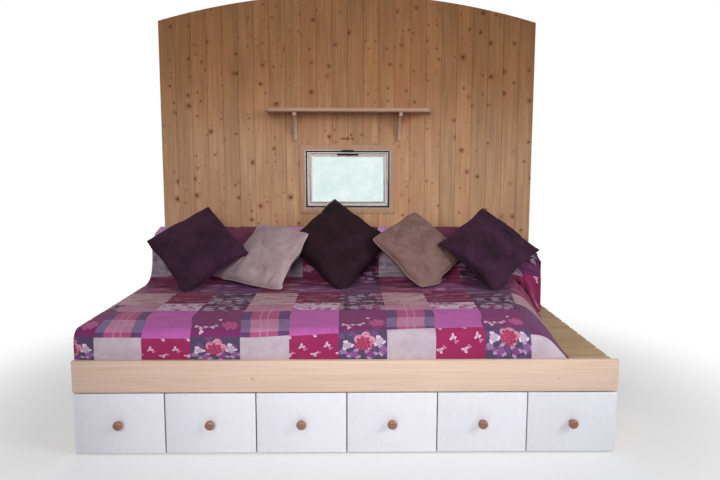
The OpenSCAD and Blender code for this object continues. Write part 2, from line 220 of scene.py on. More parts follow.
bpy.ops.mesh.primitive_plane_add(size=16, location=(0, 0, 0))
floor = bpy.context.object
floor.name = "Floor"
floor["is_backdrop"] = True

# %% [markdown]
# ## Pine
# The boards are lacquered pine. Each board has its own tone, with clouds in it, long streaks of
# grain, and knots: a dark round core in a reddish ring that the grain flows round. The knots
# come from the cells of a Voronoi pattern, of which some hold a knot, in two sizes and as pin
# knots on some boards. Over the window one knot was cut along its branch, so it is a long mark
# at a set place. Towards the roof the colour is darkened and warmed: painted shade for the
# dimmer light under the roof. A picture of wood would repeat, so all of this is worked out from
# the place on the object. The boards are told apart by their place along the wall, and the
# pattern stops at every joint as it does on real boards.

# %% Knots
def knot_marks(place, across, run, per_metre, share, size):
    """Cores and stained rings of knots, in the share of a pattern's cells that hold one."""
    cells = put("TexVoronoi", {"Vector": point_of(across, run), "Scale": per_metre,
                               "Randomness": 0.95}, voronoi_dimensions="2D")
    holds, grown, strong = put("SeparateColor", {0: cells["Color"]})
    far = cells / per_metre + (speckle(place, 120.0) * 0.006 - 0.003)
    near = far / (grown * size + size * 0.4)
    depth = calc("LESS_THAN", holds, share) * fade(strong, 0.0, 0.8, 0.15, 1.0)
    return fade(near, 1.15, 0.6) * depth, fade(near, 3.4, 0.9) * depth


# %% Pine recipe
EDGE_X, BOARDS = 1.1, 24
BOARD = 2 * EDGE_X / BOARDS
STAIN, DARK = (0.29, 0.098, 0.03), (0.105, 0.03, 0.009)


def pine(name, plain, streak, along, knots=0.5, knot_size=0.007, boards=False, rough=0.42,
         top_shade=None, cut_knot=()):
    """Pine with its grain along one axis. knots is the share of cells that hold one, the top shade
    colour is painted shade that darkens and warms the boards towards the roof, and cut_knot lists
    the places, half widths and half heights of a knot that was cut along its branch."""
    mat = finish_called(name, {"Specular IOR Level": 0.2})
    place = put("TexCoord")["Object"]
    x, y, z = put("SeparateXYZ", {0: place})
    run, across = (x, z) if along == "X" else (z, x)
    if boards:
        number = calc("FLOOR", (across + EDGE_X) / BOARD)
        own = put("TexWhiteNoise", {"W": number}, noise_dimensions="1D")
        run = own * 9.0 + run
        across = number * 0.037 + across
    round_core, round_ring = knot_marks(place, across, run, 9.5, knots, knot_size)
    wide_core, wide_ring = knot_marks(place, across * 0.42, run, 4.5, knots * 0.35, knot_size * 0.8)
    core, ring = round_core | wide_core, round_ring | wide_ring
    if boards:
        pin_core, pin_ring = knot_marks(place, across, run, 22.0, knots * 0.55, knot_size * 0.42)
        some = fade(own, 0.45, 0.6)
        core, ring = core | pin_core * some, ring | pin_ring * some
    for at_x, at_z, half_wide, half_high in cut_knot:
        far = length_of(point_of((x - at_x) / half_wide, (z - at_z) / half_high))
        core, ring = core | fade(far, 1.15, 0.6), ring | fade(far, 2.4, 0.9)
    flow = ring * 0.012 + across
    figure = calc("SINE", speckle(point_of(flow * 13.0, run * 0.6, y), 1.0) * 62.0)
    fine = speckle(point_of(flow * 130.0, run * 2.4, y * 90.0), 1.0, 3.0, 0.6)
    grain = figure * 0.13 + fade(fine, 0.3, 0.75, 0.0, 0.6)
    colour = tint(grain, plain, streak)
    if boards:
        cloud = speckle(point_of(across * 15.0, run * 2.3, y), 1.0, 3.0, 0.6)
        shade = fade(own, 0.0, 1.0, 0.92, 1.06) * fade(cloud, 0.25, 0.75, 0.86, 1.13)
        colour = tint(1.0, colour, shade, "MULTIPLY")
        rosy = fade(own["Color"], 0.45, 0.9) * fade(cloud, 0.6, 0.35, 0.15, 0.75)
        colour = tint(rosy, colour, tuple(c * k for c, k in zip(plain, (0.97, 0.83, 0.8))))
    colour = tint(ring * 0.62, colour, STAIN)
    colour = tint(core * 0.86, colour, DARK)
    # painted shade: from 1.15 m up the boards are darkened and warmed towards the roof
    if top_shade:
        colour = tint(fade(z, 1.15, 1.75), colour, tint(1.0, colour, top_shade, "MULTIPLY"))
    wear(colour, fade(fine, 0.2, 0.8, rough - 0.05, rough + 0.13), grain - core, 0.25, 0.0006)
    return mat


# %% Pine finishes
OVER_WINDOW = [(-0.024, 1.312, 0.013, 0.004), (0.0, 1.313, 0.008, 0.0065),
               (0.026, 1.312, 0.006, 0.0045)]
SAWN = (0.47, 0.33, 0.19), (0.33, 0.2, 0.1)
# the lining's colour (0.78, 0.63, 0.45) is painted shade that darkens the boards towards the roof
lining_pine = pine("Lacquered knotty pine", (0.585, 0.348, 0.196), (0.425, 0.218, 0.103), "Z",
                   0.66, 0.0068, True, 0.5, (0.78, 0.63, 0.45), OVER_WINDOW)
cladding_pine = pine("Oiled cladding pine", (0.45, 0.285, 0.155), (0.31, 0.17, 0.085), "Z",
                     boards=True, rough=0.6)
rail_pine = pine("Planed pine along", (0.74, 0.55, 0.44), (0.63, 0.43, 0.31), "X", 0.06, 0.005)
shelf_pine = pine("Shelf pine", (0.57, 0.36, 0.24), (0.47, 0.27, 0.16), "X", 0.16, 0.005)
upright_pine = pine("Planed pine upright", (0.54, 0.32, 0.185), (0.43, 0.235, 0.125), "Z",
                    0.1, 0.005)
bracket_pine = pine("Bracket pine", (0.6, 0.41, 0.3), (0.5, 0.31, 0.2), "Z", 0.05)
stud_pine = pine("Sawn framing", *SAWN, "Z", 0.25, rough=0.7)
plate_pine = pine("Sawn framing along", *SAWN, "X", 0.25, rough=0.7)
pines = (lining_pine, cladding_pine, rail_pine, shelf_pine, upright_pine, bracket_pine, stud_pine,
         plate_pine)
print("pine finishes:", [m.name for m in pines])

# %% [markdown]
# ## Plywood, paint, metal, rubber and glass
# The drawer boxes are birch plywood, pale with a faint flowing figure. The drawer fronts have
# white eggshell paint with the faint marks of a roller. The window is satin aluminium with a
# black rubber gasket, and its pull bar is black. Its glass is tinted green in soft patches,
# which is painted light from the greenery seen through the window. One even colour would look
# like plastic, so each of these varies a little between two tones.

# %% Plain finishes
def birch_ply():
    """Pale rotary-cut veneer with a soft figure."""
    mat = finish_called("Birch plywood")
    x, y, z = put("SeparateXYZ", {0: put("TexCoord")["Object"]})
    long_way = point_of(x * 9.0, y * 1.2, z * 9.0)
    figure = calc("SINE", speckle(long_way, 1.4, 3.0) * 34.0)
    pores = speckle(long_way, 40.0, 3.0, 0.7)
    share = figure * 0.2 + fade(pores, 0.3, 0.8, 0.1, 0.8)
    wear(tint(share, (0.64, 0.48, 0.31), (0.5, 0.34, 0.19)), fade(pores, 0.2, 0.8, 0.5, 0.68),
         pores, 0.2, 0.0004)
    return mat


def mottled(name, one, two, scale, rough, vary=0.08, bump=0.15, stretch=(1, 1, 1), amounts=None):
    """A nearly even finish that varies a little between two colours."""
    mat = finish_called(name, amounts)
    place = put("Mapping", {"Vector": put("TexCoord")["Object"], "Scale": stretch})
    marks = speckle(place, scale, 4.0, 0.6)
    wear(tint(fade(marks, 0.3, 0.7), one, two), fade(marks, 0.25, 0.75, rough - vary, rough + vary),
         marks, bump, 0.0004)
    return mat


ply = birch_ply()
white_paint = mottled("White eggshell paint", (0.745, 0.735, 0.79), (0.775, 0.765, 0.815), 55.0,
                      0.42, 0.05, stretch=(1, 1, 0.35))
alloy = mottled("Satin aluminium", (0.38, 0.33, 0.31), (0.44, 0.39, 0.375), 30.0, 0.42, 0.06,
                0.05, (1, 6, 1), {"Metallic": 0.6})
rubber = mottled("Black rubber", (0.009, 0.007, 0.008), (0.015, 0.012, 0.013), 160.0, 0.7,
                 amounts={"Specular IOR Level": 0.12})
black_iron = mottled("Black metal", (0.009, 0.008, 0.009), (0.018, 0.016, 0.018), 220.0, 0.45,
                     amounts={"Specular IOR Level": 0.15})
amber_pine = mottled("Amber varnished pine", (0.31, 0.142, 0.086), (0.23, 0.095, 0.052), 34.0,
                     0.24, 0.04, 0.04, (1, 1, 5), {"Coat Weight": 0.35})
# painted light: the pane's green tint in soft patches stands for the greenery seen through the
# window
pane = mottled("Float glass", (0.68, 0.83, 0.8), (0.8, 0.93, 0.9), 16.0, 0.02, 0.01, 0.0,
               amounts={"Transmission Weight": 1.0, "IOR": 1.45})
print("plain finishes:", [m.name for m in (ply, white_paint, alloy, rubber, black_iron, pane)])

# %% Floor paint
floor_paint = mottled("Pale floor", (0.8, 0.8, 0.8), (0.82, 0.82, 0.82), 2.0, 0.7, bump=0.0)
floor.data.materials.append(floor_paint)
paint, outlet = (floor_paint.node_tree.nodes[n] for n in ("Principled BSDF", "Material Output"))
away = put("VectorMath", {0: put("TexCoord")["Object"], 1: (0, -0.7, 0)},
           operation="DISTANCE")["Value"]
share = fade(away, 1.3, 2.4, 0.35, 1.0) * put("LightPath")["Is Camera Ray"]
glow = put("Emission", {"Color": (1, 1, 1), "Strength": 1.0})
feed(outlet, {"Surface": put("MixShader", {0: share, 1: Wire(paint.outputs[0]), 2: glow})})
print("floor:", floor_paint.name)

# %% [markdown]
# ## Helpers for shaping
# Pieces are started from a primitive at its real size, shaped in edit mode, and finished with
# modifiers that are applied. Faces and edges are chosen in code by their place or direction.
# Every finished piece keeps its object at the origin, with its place in its mesh.

# %% Shaping helpers
def make_active(piece):
    """Selects one piece alone."""
    bpy.ops.object.select_all(action="DESELECT")
    piece.select_set(True)
    bpy.context.view_layer.objects.active = piece


@contextmanager
def editing(piece):
    """Edit mode, for the lines under a with."""
    make_active(piece)
    bpy.ops.object.mode_set(mode="EDIT")
    yield
    bpy.ops.object.mode_set(mode="OBJECT")


def named(name):
    """Names the object that was just made, and its mesh."""
    made = bpy.context.object
    made.name = made.data.name = name
    return made


def primitive(name, add, **settings):
    """A primitive with its place, turn and size in its mesh, alone selected."""
    bpy.ops.object.select_all(action="DESELECT")
    add(**settings)
    bpy.ops.object.transform_apply(location=True, rotation=True, scale=True)
    return named(name)


def start_box(name, low, high):
    """A cube primitive between two corners, ready to be shaped."""
    low, high = Vector(low), Vector(high)
    return primitive(name, bpy.ops.mesh.primitive_cube_add, size=1, location=(low + high) / 2,
                     scale=high - low)


def choose(kind, test):
    """Selects the verts, edges or faces of the mesh in edit mode that pass a test."""
    bpy.ops.mesh.select_mode(type=kind[:-1].upper())
    bpy.ops.mesh.select_all(action="DESELECT")
    mesh = bmesh.from_edit_mesh(bpy.context.object.data)
    for part in getattr(mesh, kind):
        if test(part):
            part.select_set(True)
    bmesh.update_edit_mesh(bpy.context.object.data)


def slice_at(place, way, **settings):
    """Cuts the whole mesh in edit mode along a plane."""
    bpy.ops.mesh.select_all(action="SELECT")
    bpy.ops.mesh.bisect(plane_co=place, plane_no=way, **settings)


def reach(edge, axis):
    """How far an edge goes along an axis."""
    return abs(edge.verts[0].co[axis] - edge.verts[1].co[axis])


# %% Finishing helpers
def modify(piece, name, kind, **settings):
    """Gives a piece a modifier and applies it."""
    make_active(piece)
    added = piece.modifiers.new(name, kind)
    for key, value in settings.items():
        setattr(added, key, value)
    bpy.ops.object.modifier_apply(modifier=added.name)


def ease(piece, width, angle=35):
    """Softens the sharp edges with a bevel."""
    modify(piece, "Eased edges", "BEVEL", width=width, segments=2, limit_method="ANGLE",
           angle_limit=radians(angle))
    bpy.ops.object.shade_smooth_by_angle(angle=radians(40))
    return piece


def finish(piece, mat, node, body="hut_end"):
    """Gives a piece its finish, its body and the solid that it stands for."""
    piece.data.materials.clear()
    piece.data.materials.append(mat)
    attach(piece, body)
    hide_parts(node)
    print(piece.name, "faces:", len(piece.data.polygons), "stands for:", node)


def coat(mat, *nodes):
    """Gives carried-over solids their finish."""
    for n in nodes:
        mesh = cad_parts[n].data
        mesh.materials.clear()
        mesh.materials.append(mat)
    print(mat.name, "on:", *nodes)


def new_object(name, data):
    """Puts new data into the scene as an object."""
    made = bpy.data.objects.new(name, data)
    bpy.context.collection.objects.link(made)
    return made


def join(name, parts):
    """Joins parts into one piece."""
    make_active(parts[0])
    for part in parts:
        part.select_set(True)
    bpy.ops.object.join()
    return named(name)


def twin(piece, name, shift):
    """A copy with its own mesh, moved by a shift."""
    make_active(piece)
    bpy.ops.object.duplicate()
    bpy.ops.transform.translate(value=shift)
    bpy.ops.object.transform_apply(location=True, rotation=False, scale=False)
    return named(name)


def cut_off(piece, place, away):
    """Cuts a piece at a plane and closes the cut. What lies on the away side goes."""
    with editing(piece):
        slice_at(place, away, use_fill=True, clear_outer=True)
    return piece


# %% [markdown]
# ## Matchboard
# Both faces of the wall are tongue and groove boards. One board is modelled: a long box, a
# groove pushed into one edge, a tongue pulled out of the other, and the two front corners
# bevelled, so that two boards together show a V. It is copied 24 times across the wall, and each
# copy is cut to the roof arc. The boards at the window are cut round its frame. Lines in the
# finish would be quicker, but they would catch no light and leave the wall's edges smooth.

# %% One board
EAVES, RISE, OVER_ROOF = 1.985, 0.155, 2.16
ARC = (EDGE_X**2 + RISE**2) / (2 * RISE)
WINDOW_MID, WINDOW_W, WINDOW_H = 1.072, 0.512, 0.350
GAP, GROOVE, TONGUE = 0.0003, 0.0055, 0.0045


def roof_at(x):
    """Height of the roof arc at a place along the wall."""
    return EAVES + RISE - ARC + sqrt(ARC**2 - x**2)


def first_board(name, face_y, back_y, vee):
    """The board at the left edge: groove on its left, tongue on its right."""
    low_y, high_y = sorted((face_y, back_y))
    made = start_box(name, (-EDGE_X + GAP, low_y, 0.0), (-EDGE_X + BOARD - GAP, high_y, OVER_ROOF))
    thick = high_y - low_y
    mid, half_tongue = face_y + (back_y - face_y) * 0.55, thick * 0.17
    with editing(made):
        for y in (mid - half_tongue, mid + half_tongue):
            slice_at((0, y, 0), (0, 1, 0))
        for side, out in ((1, TONGUE), (-1, GROOVE)):
            choose("faces", lambda f: f.normal.x * side > 0.9
                   and abs(f.calc_center_median().y - mid) < thick * 0.1)
            bpy.ops.mesh.extrude_region_move(TRANSFORM_OT_translate={"value": (out, 0, 0)})
        choose("edges", lambda e: all(abs(v.co.y - face_y) < 1e-5 for v in e.verts)
               and reach(e, 2) > 1)
        bpy.ops.mesh.bevel(offset=vee, segments=1, affect="EDGES")
    return made


# %% Boarded wall
def board_wall(name, face_y, back_y, vee, mat):
    """Boards a whole face of the wall in four fields round the window."""
    pattern = first_board(name, face_y, back_y, vee)
    low, high = WINDOW_MID - WINDOW_H / 2, WINDOW_MID + WINDOW_H / 2
    cutter = start_box("cutter", (-WINDOW_W / 2, -0.1, low), (WINDOW_W / 2, 0.1, high))
    fields = {"left": [], "right": [], "above_window": [], "below_window": []}
    for k in range(BOARDS):
        left = -EDGE_X + k * BOARD
        board = twin(pattern, f"{name}_{k + 1}", (k * BOARD, 0, 0))
        slope = (roof_at(left + BOARD) - roof_at(left)) / BOARD
        cut_off(board, (left, 0, roof_at(left)), Vector((-slope, 0, 1)).normalized())
        if k == BOARDS - 1:
            cut_off(board, (EDGE_X - 0.0002, 0, 0), (1, 0, 0))
        if -WINDOW_W / 2 <= left and left + BOARD <= WINDOW_W / 2:
            under = twin(board, f"{name}_{k + 1}_low", (0, 0, 0))
            fields["below_window"].append(cut_off(under, (0, 0, low), (0, 0, 1)))
            fields["above_window"].append(cut_off(board, (0, 0, high), (0, 0, -1)))
        else:
            if left < WINDOW_W / 2 and left + BOARD > -WINDOW_W / 2:
                modify(board, "Notch", "BOOLEAN", object=cutter, operation="DIFFERENCE",
                       solver="EXACT")
            fields["left" if left < 0 else "right"].append(board)
    bpy.data.objects.remove(cutter)
    bpy.data.objects.remove(pattern)
    for field, boards in fields.items():
        piece = join(f"{name}_boards_{field}", boards)
        bpy.ops.object.shade_flat()
        finish(piece, mat, f"{name}_{field}")


board_wall("lining", -0.037, -0.025, 0.0017, lining_pine)
board_wall("cladding", 0.043, 0.025, 0.0042, cladding_pine)

# %% [markdown]
# ## Wall frame
# The sole plate, the posts, the arched rail and the studs are hidden between the two boardings
# and only show at the wall's edges. Their solids are right as they are and get sawn timber.

# %% Wall frame
coat(plate_pine, "sole_plate", "arched_top_rail")
coat(stud_pine, "corner_post_left", "corner_post_right", "wall_studs")

# %% [markdown]
# ## Window
# The window is small and of metal: a thin fixed frame, a black gasket, and a sash whose face has
# a shallow channel round it. Each is a ring: the front and back of a box are inset by the ring's
# width and bridged, which leaves the opening with mitred corners. Four bars would do as well,
# but a ring is one closed mesh, and its channel can run round all four sides at once.

# %% Window ring
def ring(name, wide, high, face, y_low, y_high, soft, channel=None):
    """A rectangular ring about the window's middle, with an optional channel in its face."""
    made = start_box(name, (-wide / 2, y_low, WINDOW_MID - high / 2),
                     (wide / 2, y_high, WINDOW_MID + high / 2))
    with editing(made):
        choose("faces", lambda f: abs(f.normal.y) > 0.9)
        bpy.ops.mesh.inset(thickness=face)
        bpy.ops.mesh.bridge_edge_loops()
        if channel:
            margin, depth = channel
            choose("faces", lambda f: f.normal.y < -0.9)
            bpy.ops.mesh.inset(thickness=margin)
            bpy.ops.mesh.inset(thickness=0.0015, depth=-depth)
    return ease(made, soft)


# %% Window
INSIDE, OUTSIDE = -0.037, 0.043
FRAME_FACE, GASKET, SASH_FACE, TRIM = 0.0065, 0.0075, 0.028, 0.03
sash = -2 * (FRAME_FACE + GASKET)
for name, node, mat, slot, more, *shape in (
        ("window_fixed_frame", "window_frame", alloy, "window_metal", 0, FRAME_FACE,
         INSIDE - 0.008, OUTSIDE + 0.004, 0.0012, (0.0022, 0.0012)),
        ("window_rubber", "window_gasket", rubber, "gasket", sash + 2 * GASKET, GASKET,
         INSIDE - 0.001, INSIDE + 0.011, 0.0006),
        ("window_opening_sash", "window_sash", alloy, "window_metal", sash, SASH_FACE,
         INSIDE - 0.001, INSIDE + 0.023, 0.0014, (0.008, 0.003)),
        ("window_lining_trim", "window_trim_inside", upright_pine, "pine_planed", 2 * TRIM, TRIM,
         INSIDE - 0.006, INSIDE, 0.0015),
        ("window_cladding_trim", "window_trim_outside", upright_pine, "pine_planed", 2 * TRIM,
         TRIM, OUTSIDE, OUTSIDE + 0.012, 0.002)):
    finish(ring(name, WINDOW_W + more, WINDOW_H + more, *shape), mat, node)
coat(pane, "window_glass")
coat(black_iron, "window_pull")

# %% [markdown]
# ## Shelf
# The shelf is one planed board. Its two front corners are rounded to 50 mm with an edge bevel,
# which takes fewer steps than drawing the outline, and then every edge is eased a little, as
# sanding leaves it. The brackets keep their solids.

# %% Shelf
low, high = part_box("shelf_board")
shelf = start_box("shelf_plank", low, high)
with editing(shelf):
    choose("edges", lambda e: all(v.co.y < low.y + 1e-4 for v in e.verts) and reach(e, 0) < 1e-4)
    bpy.ops.mesh.bevel(offset=0.05, segments=10, affect="EDGES")
finish(ease(shelf, 0.002), shelf_pine, "shelf_board")
coat(bracket_pine, "shelf_bracket_left", "shelf_bracket_right")

# %% [markdown]
# ## Bed frame
# A pale planed rail runs along the front above the drawers. The rail and the two ends of the
# bed are plain boxes that show, so they are made again with eased edges, which catch the light
# as real ones do. The dividers, the slats and the floor show little, and their solids stay.

# %% Bed frame
def eased_board(name, node, mat, soft, body="hut_end"):
    """A board in the place of a solid, with eased edges."""
    finish(ease(start_box(name, *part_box(node)), soft), mat, node, body)


eased_board("bed_rail", "bed_front_rail", rail_pine, 0.0025)
for side in ("left", "right"):
    eased_board(f"bed_panel_{side}", f"bed_end_{side}", upright_pine, 0.001)
coat(upright_pine, *(f"bed_divider_{k}" for k in range(1, 6)))
coat(plate_pine, "bed_slats")
coat(ply, "bed_floor")

# %% [markdown]
# ## Drawers
# The fronts are flat, painted white, with eased edges. The knobs are turned: rings are pulled
# out of a disc and scaled, neck, body and face. A profile could be spun instead, but its poles
# and its seam would have to be merged afterwards. One knob is made and copied. The boxes are
# thin plywood trays, whose solids are right.

# %% Turned knob
KNOB_R = 0.02
KNOB_RINGS = [(0.63, 0.0), (0.63, 0.002), (0.46, 0.0045), (0.42, 0.008), (0.52, 0.0115),
              (0.76, 0.014), (0.93, 0.0175), (1.0, 0.0218), (0.96, 0.0262), (0.85, 0.0298),
              (0.66, 0.0325), (0.36, 0.0338)]


def turned_knob(name, x, z, face_y):
    """A knob built from a circle by extruding and scaling rings towards the room."""
    made = primitive(name, bpy.ops.mesh.primitive_circle_add, vertices=32,
                     radius=KNOB_RINGS[0][0] * KNOB_R, location=(x, face_y, z),
                     rotation=(pi / 2, 0, 0))
    with editing(made):
        bpy.ops.mesh.edge_face_add()
        for (wide, out), (wider, further) in zip(KNOB_RINGS, KNOB_RINGS[1:]):
            bpy.ops.mesh.extrude_region_move(
                TRANSFORM_OT_translate={"value": (0, out - further, 0)})
            k = wider / wide
            bpy.ops.transform.resize(value=(k, 1, k), center_override=(x, face_y - further, z))
        bpy.ops.mesh.poke()
        bpy.ops.mesh.select_all(action="SELECT")
        bpy.ops.mesh.normals_make_consistent(inside=False)
    bpy.ops.object.shade_smooth_by_angle(angle=radians(50))
    return made


# %% Drawers
DRAWERS = 6
low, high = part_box("drawer_front_1")
first_x = (low.x + high.x) / 2
knob_pattern = turned_knob("knob_pattern", first_x, (low.z + high.z) / 2, low.y)
for k in range(1, DRAWERS + 1):
    body = f"drawer_{k}"
    eased_board(f"drawer_panel_{k}", f"drawer_front_{k}", white_paint, 0.0016, body)
    low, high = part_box(f"drawer_front_{k}")
    knob = twin(knob_pattern, f"turned_knob_{k}", ((low.x + high.x) / 2 - first_x, 0, 0))
    finish(knob, amber_pine, f"drawer_knob_{k}", body)
    coat(ply, f"drawer_box_{k}")
bpy.data.objects.remove(knob_pattern)

# %% [markdown]
# ## Cloth recipes
# The quilt is printed patchwork cotton: plain cloths, checks and small florals. A pattern must
# follow the cloth over every bend, so it reads a UV map in metres, across the bed and along it.
# Small flowers grow round the cells of a Voronoi pattern: the way from a cell's middle gives the
# petals, and its random colour gives each flower its size and turn. Other flowers are placed,
# at the same spot of every patch. Every cloth ends with threads, faded places, and the rumples
# of the loose cloth at the back of the bed, which are bumped, with painted shade in their
# hollows and painted highlights on their ridges.

# %% Cloth helpers
def cloth_called(name):
    """A new cloth material with its place on the cloth, across and along in metres."""
    mat = finish_called(name, {"Sheen Weight": 0.04, "Specular IOR Level": 0.12})
    place = put("UVMap", uv_map="cloth")
    across, along, _ = put("SeparateXYZ", {0: place})
    return mat, place, across, along


def weave(place, colour):
    """Closes a cloth recipe with threads, faded places, and rumples at the back that are bumped,
    with painted shade in their hollows and painted highlights on their ridges, and a matt surface.
    """
    threads = speckle(place, 950.0, 1.0)
    faded = speckle(place, 14.0, 3.0)
    across, along, _ = put("SeparateXYZ", {0: place})
    rumple = speckle(point_of(across * 8.0, along * 34.0), 1.0, 3.0, 0.6)
    loose = fade(along, 0.28, 0.5) * fade(along, 1.2, 1.0)
    tone_and_fold_shade = fade(threads * 0.35 + faded * 0.65, 0.32, 0.68, 0.91, 1.07)
    # painted shade: the hollows of the rumples at the back are darkened
    tone_and_fold_shade = tone_and_fold_shade * (fade(rumple, 0.52, 0.38) * loose * -0.45 + 1.04)
    # painted highlight: the ridges of the rumples are lightened towards a pale pink
    painted_glint = fade(rumple, 0.54, 0.68) * loose
    colour = tint(painted_glint * 0.3, colour, (0.5, 0.36, 0.46))
    wear(tint(1.0, colour, tone_and_fold_shade, "MULTIPLY"), fade(threads, 0.3, 0.7, 0.8, 0.95),
         threads * 0.05 + rumple * loose, 0.6, 0.012)


# %% Flowers
def bloom(away, twist, size, petals):
    """Petals, whorls and leaves of a flower, each as a share, from the way to its middle."""
    x, y, _ = put("SeparateXYZ", {0: away})
    turn = twist + calc("ARCTAN2", y, x)
    lobes = calc("ABSOLUTE", calc("SINE", turn * (petals / 2)))
    near = length_of(away) / (size * (lobes * 0.3 + 0.78))
    ring = near * 3.6
    lap = calc("ABSOLUTE", calc("SINE", calc("FLOOR", ring) * 1.9 + turn * 2.5))
    whorl = fade(calc("FRACT", lap * -0.45 + ring), 0.05, 0.8)
    blade = calc("SINE", turn * 3.0 + 1.2) | 0.0
    return fade(near, 1.04, 0.93), whorl, fade(near - calc("SQRT", blade) * 0.85, 1.0, 0.92)


def scattered(place, per_metre, size, petals, share, shift):
    """Flowers round the scattered middles of cells, of which a share has one."""
    moved = put("VectorMath", {0: place, 1: (shift, shift * 1.7, 0)}, operation="ADD")
    cells = put("TexVoronoi", {"Vector": moved, "Scale": per_metre, "Randomness": 0.72},
                voronoi_dimensions="2D")
    turned, grown, holds = put("SeparateColor", {0: cells["Color"]})
    away = put("VectorMath", {0: moved, 1: cells["Position"]}, operation="SUBTRACT")
    shapes = bloom(away, turned * 6.28, (grown * 0.5 + 0.75) * size, petals)
    held = calc("LESS_THAN", holds, share)
    return [shape * held for shape in shapes]


def placed(across, along, spot, pitch, twist, size, petals, squash):
    """A flower at a spot of the cloth that comes back at a pitch both ways."""
    x, y = (calc("WRAP", where - at, gap / 2, -gap / 2)
            for where, at, gap in zip((across, along), spot, pitch))
    return bloom(point_of(x, y * squash), twist, size, petals)


# %% Prints and checks
PITCH, PATCH_FROM = 0.5865, -0.43


def stripes(where, period, start, width):
    """Bands of one width that repeat along a direction."""
    off = calc("ABSOLUTE", calc("FRACT", (where - start) / period) - 0.5)
    half = width / period / 2
    return fade(off, half * 1.15, half * 0.85)


def span(where, low, high, soft=0.0015):
    """One inside a stretch of the cloth, and zero outside it."""
    return fade(where, low - soft, low + soft) * fade(where, high + soft, high - soft)


def floral(name, ground, sorts, mottle=None, spots=(), blocks=(), squash=1.0):
    """Printed cloth: sorts of scattered flowers on a ground, and flowers at spots, each ending
    with its inks for petals, shadows and leaves. Blocks are plain printed stripes."""
    mat, place, across, along = cloth_called(name)
    colour = ground
    if mottle:
        colour = tint(fade(speckle(place, 34.0, 3.0, 0.6), 0.46, 0.56), ground, mottle)
    prints = [(scattered(place, *flower, 3.1 + k * 1.37), inks)
              for k, (*flower, inks) in enumerate(sorts)]
    prints += [(placed(across, along, *flower, squash), inks) for *flower, inks in spots]
    for (petal, whorl, leaf), (petal_is, shadow_is, leaf_is) in prints:
        if leaf_is:
            colour = tint(leaf, colour, leaf_is)
        colour = tint(petal, colour, tint(whorl, shadow_is, petal_is))
    for low, high, period, width, block_is in blocks:
        block = span(along, low, high, 0.004) * stripes(across, period, 0.0, width)
        colour = tint(block * fade(speckle(place, 60.0), 0.35, 0.5) * 0.85, colour, block_is)
    weave(place, colour)
    return mat


def checked(name, ground, bands):
    """Woven check: each band runs across or along the cloth and lets the ground through."""
    mat, place, across, along = cloth_called(name)
    colour = ground
    for runs, period, start, width, band_is, share in bands:
        band = stripes(along if runs == "across" else across, period, start, width)
        colour = tint(band * share, colour, band_is)
    weave(place, colour)
    return mat


def pink_check():
    """Madras check: slate bands up both sides, crimson bands across, a plain pink end."""
    mat, place, across, along = cloth_called("Pink check cotton")
    inside = calc("WRAP", across - PATCH_FROM, PITCH, 0.0)
    colour = tint(span(along, 0.31, 0.5, 0.012), (0.5, 0.2, 0.33), (0.43, 0.19, 0.26))
    crimson = span(along, 0.165, 0.305) | span(along, -0.02, 0.008)
    colour = tint(crimson * 0.8, colour, (0.36, 0.05, 0.16))
    pale = span(inside, 0.083, 0.09) | span(inside, 0.112, 0.119) | span(along, 0.085, 0.093)
    colour = tint(pale * 0.35, colour, (0.55, 0.34, 0.45))
    slate = (span(inside, -0.02, 0.046) | span(inside, 0.158, 0.22)) * span(along, -0.03, 0.305)
    dark = tint(crimson, (0.17, 0.125, 0.25), (0.085, 0.05, 0.13))
    weave(place, tint(slate * 0.9, colour, dark))
    return mat


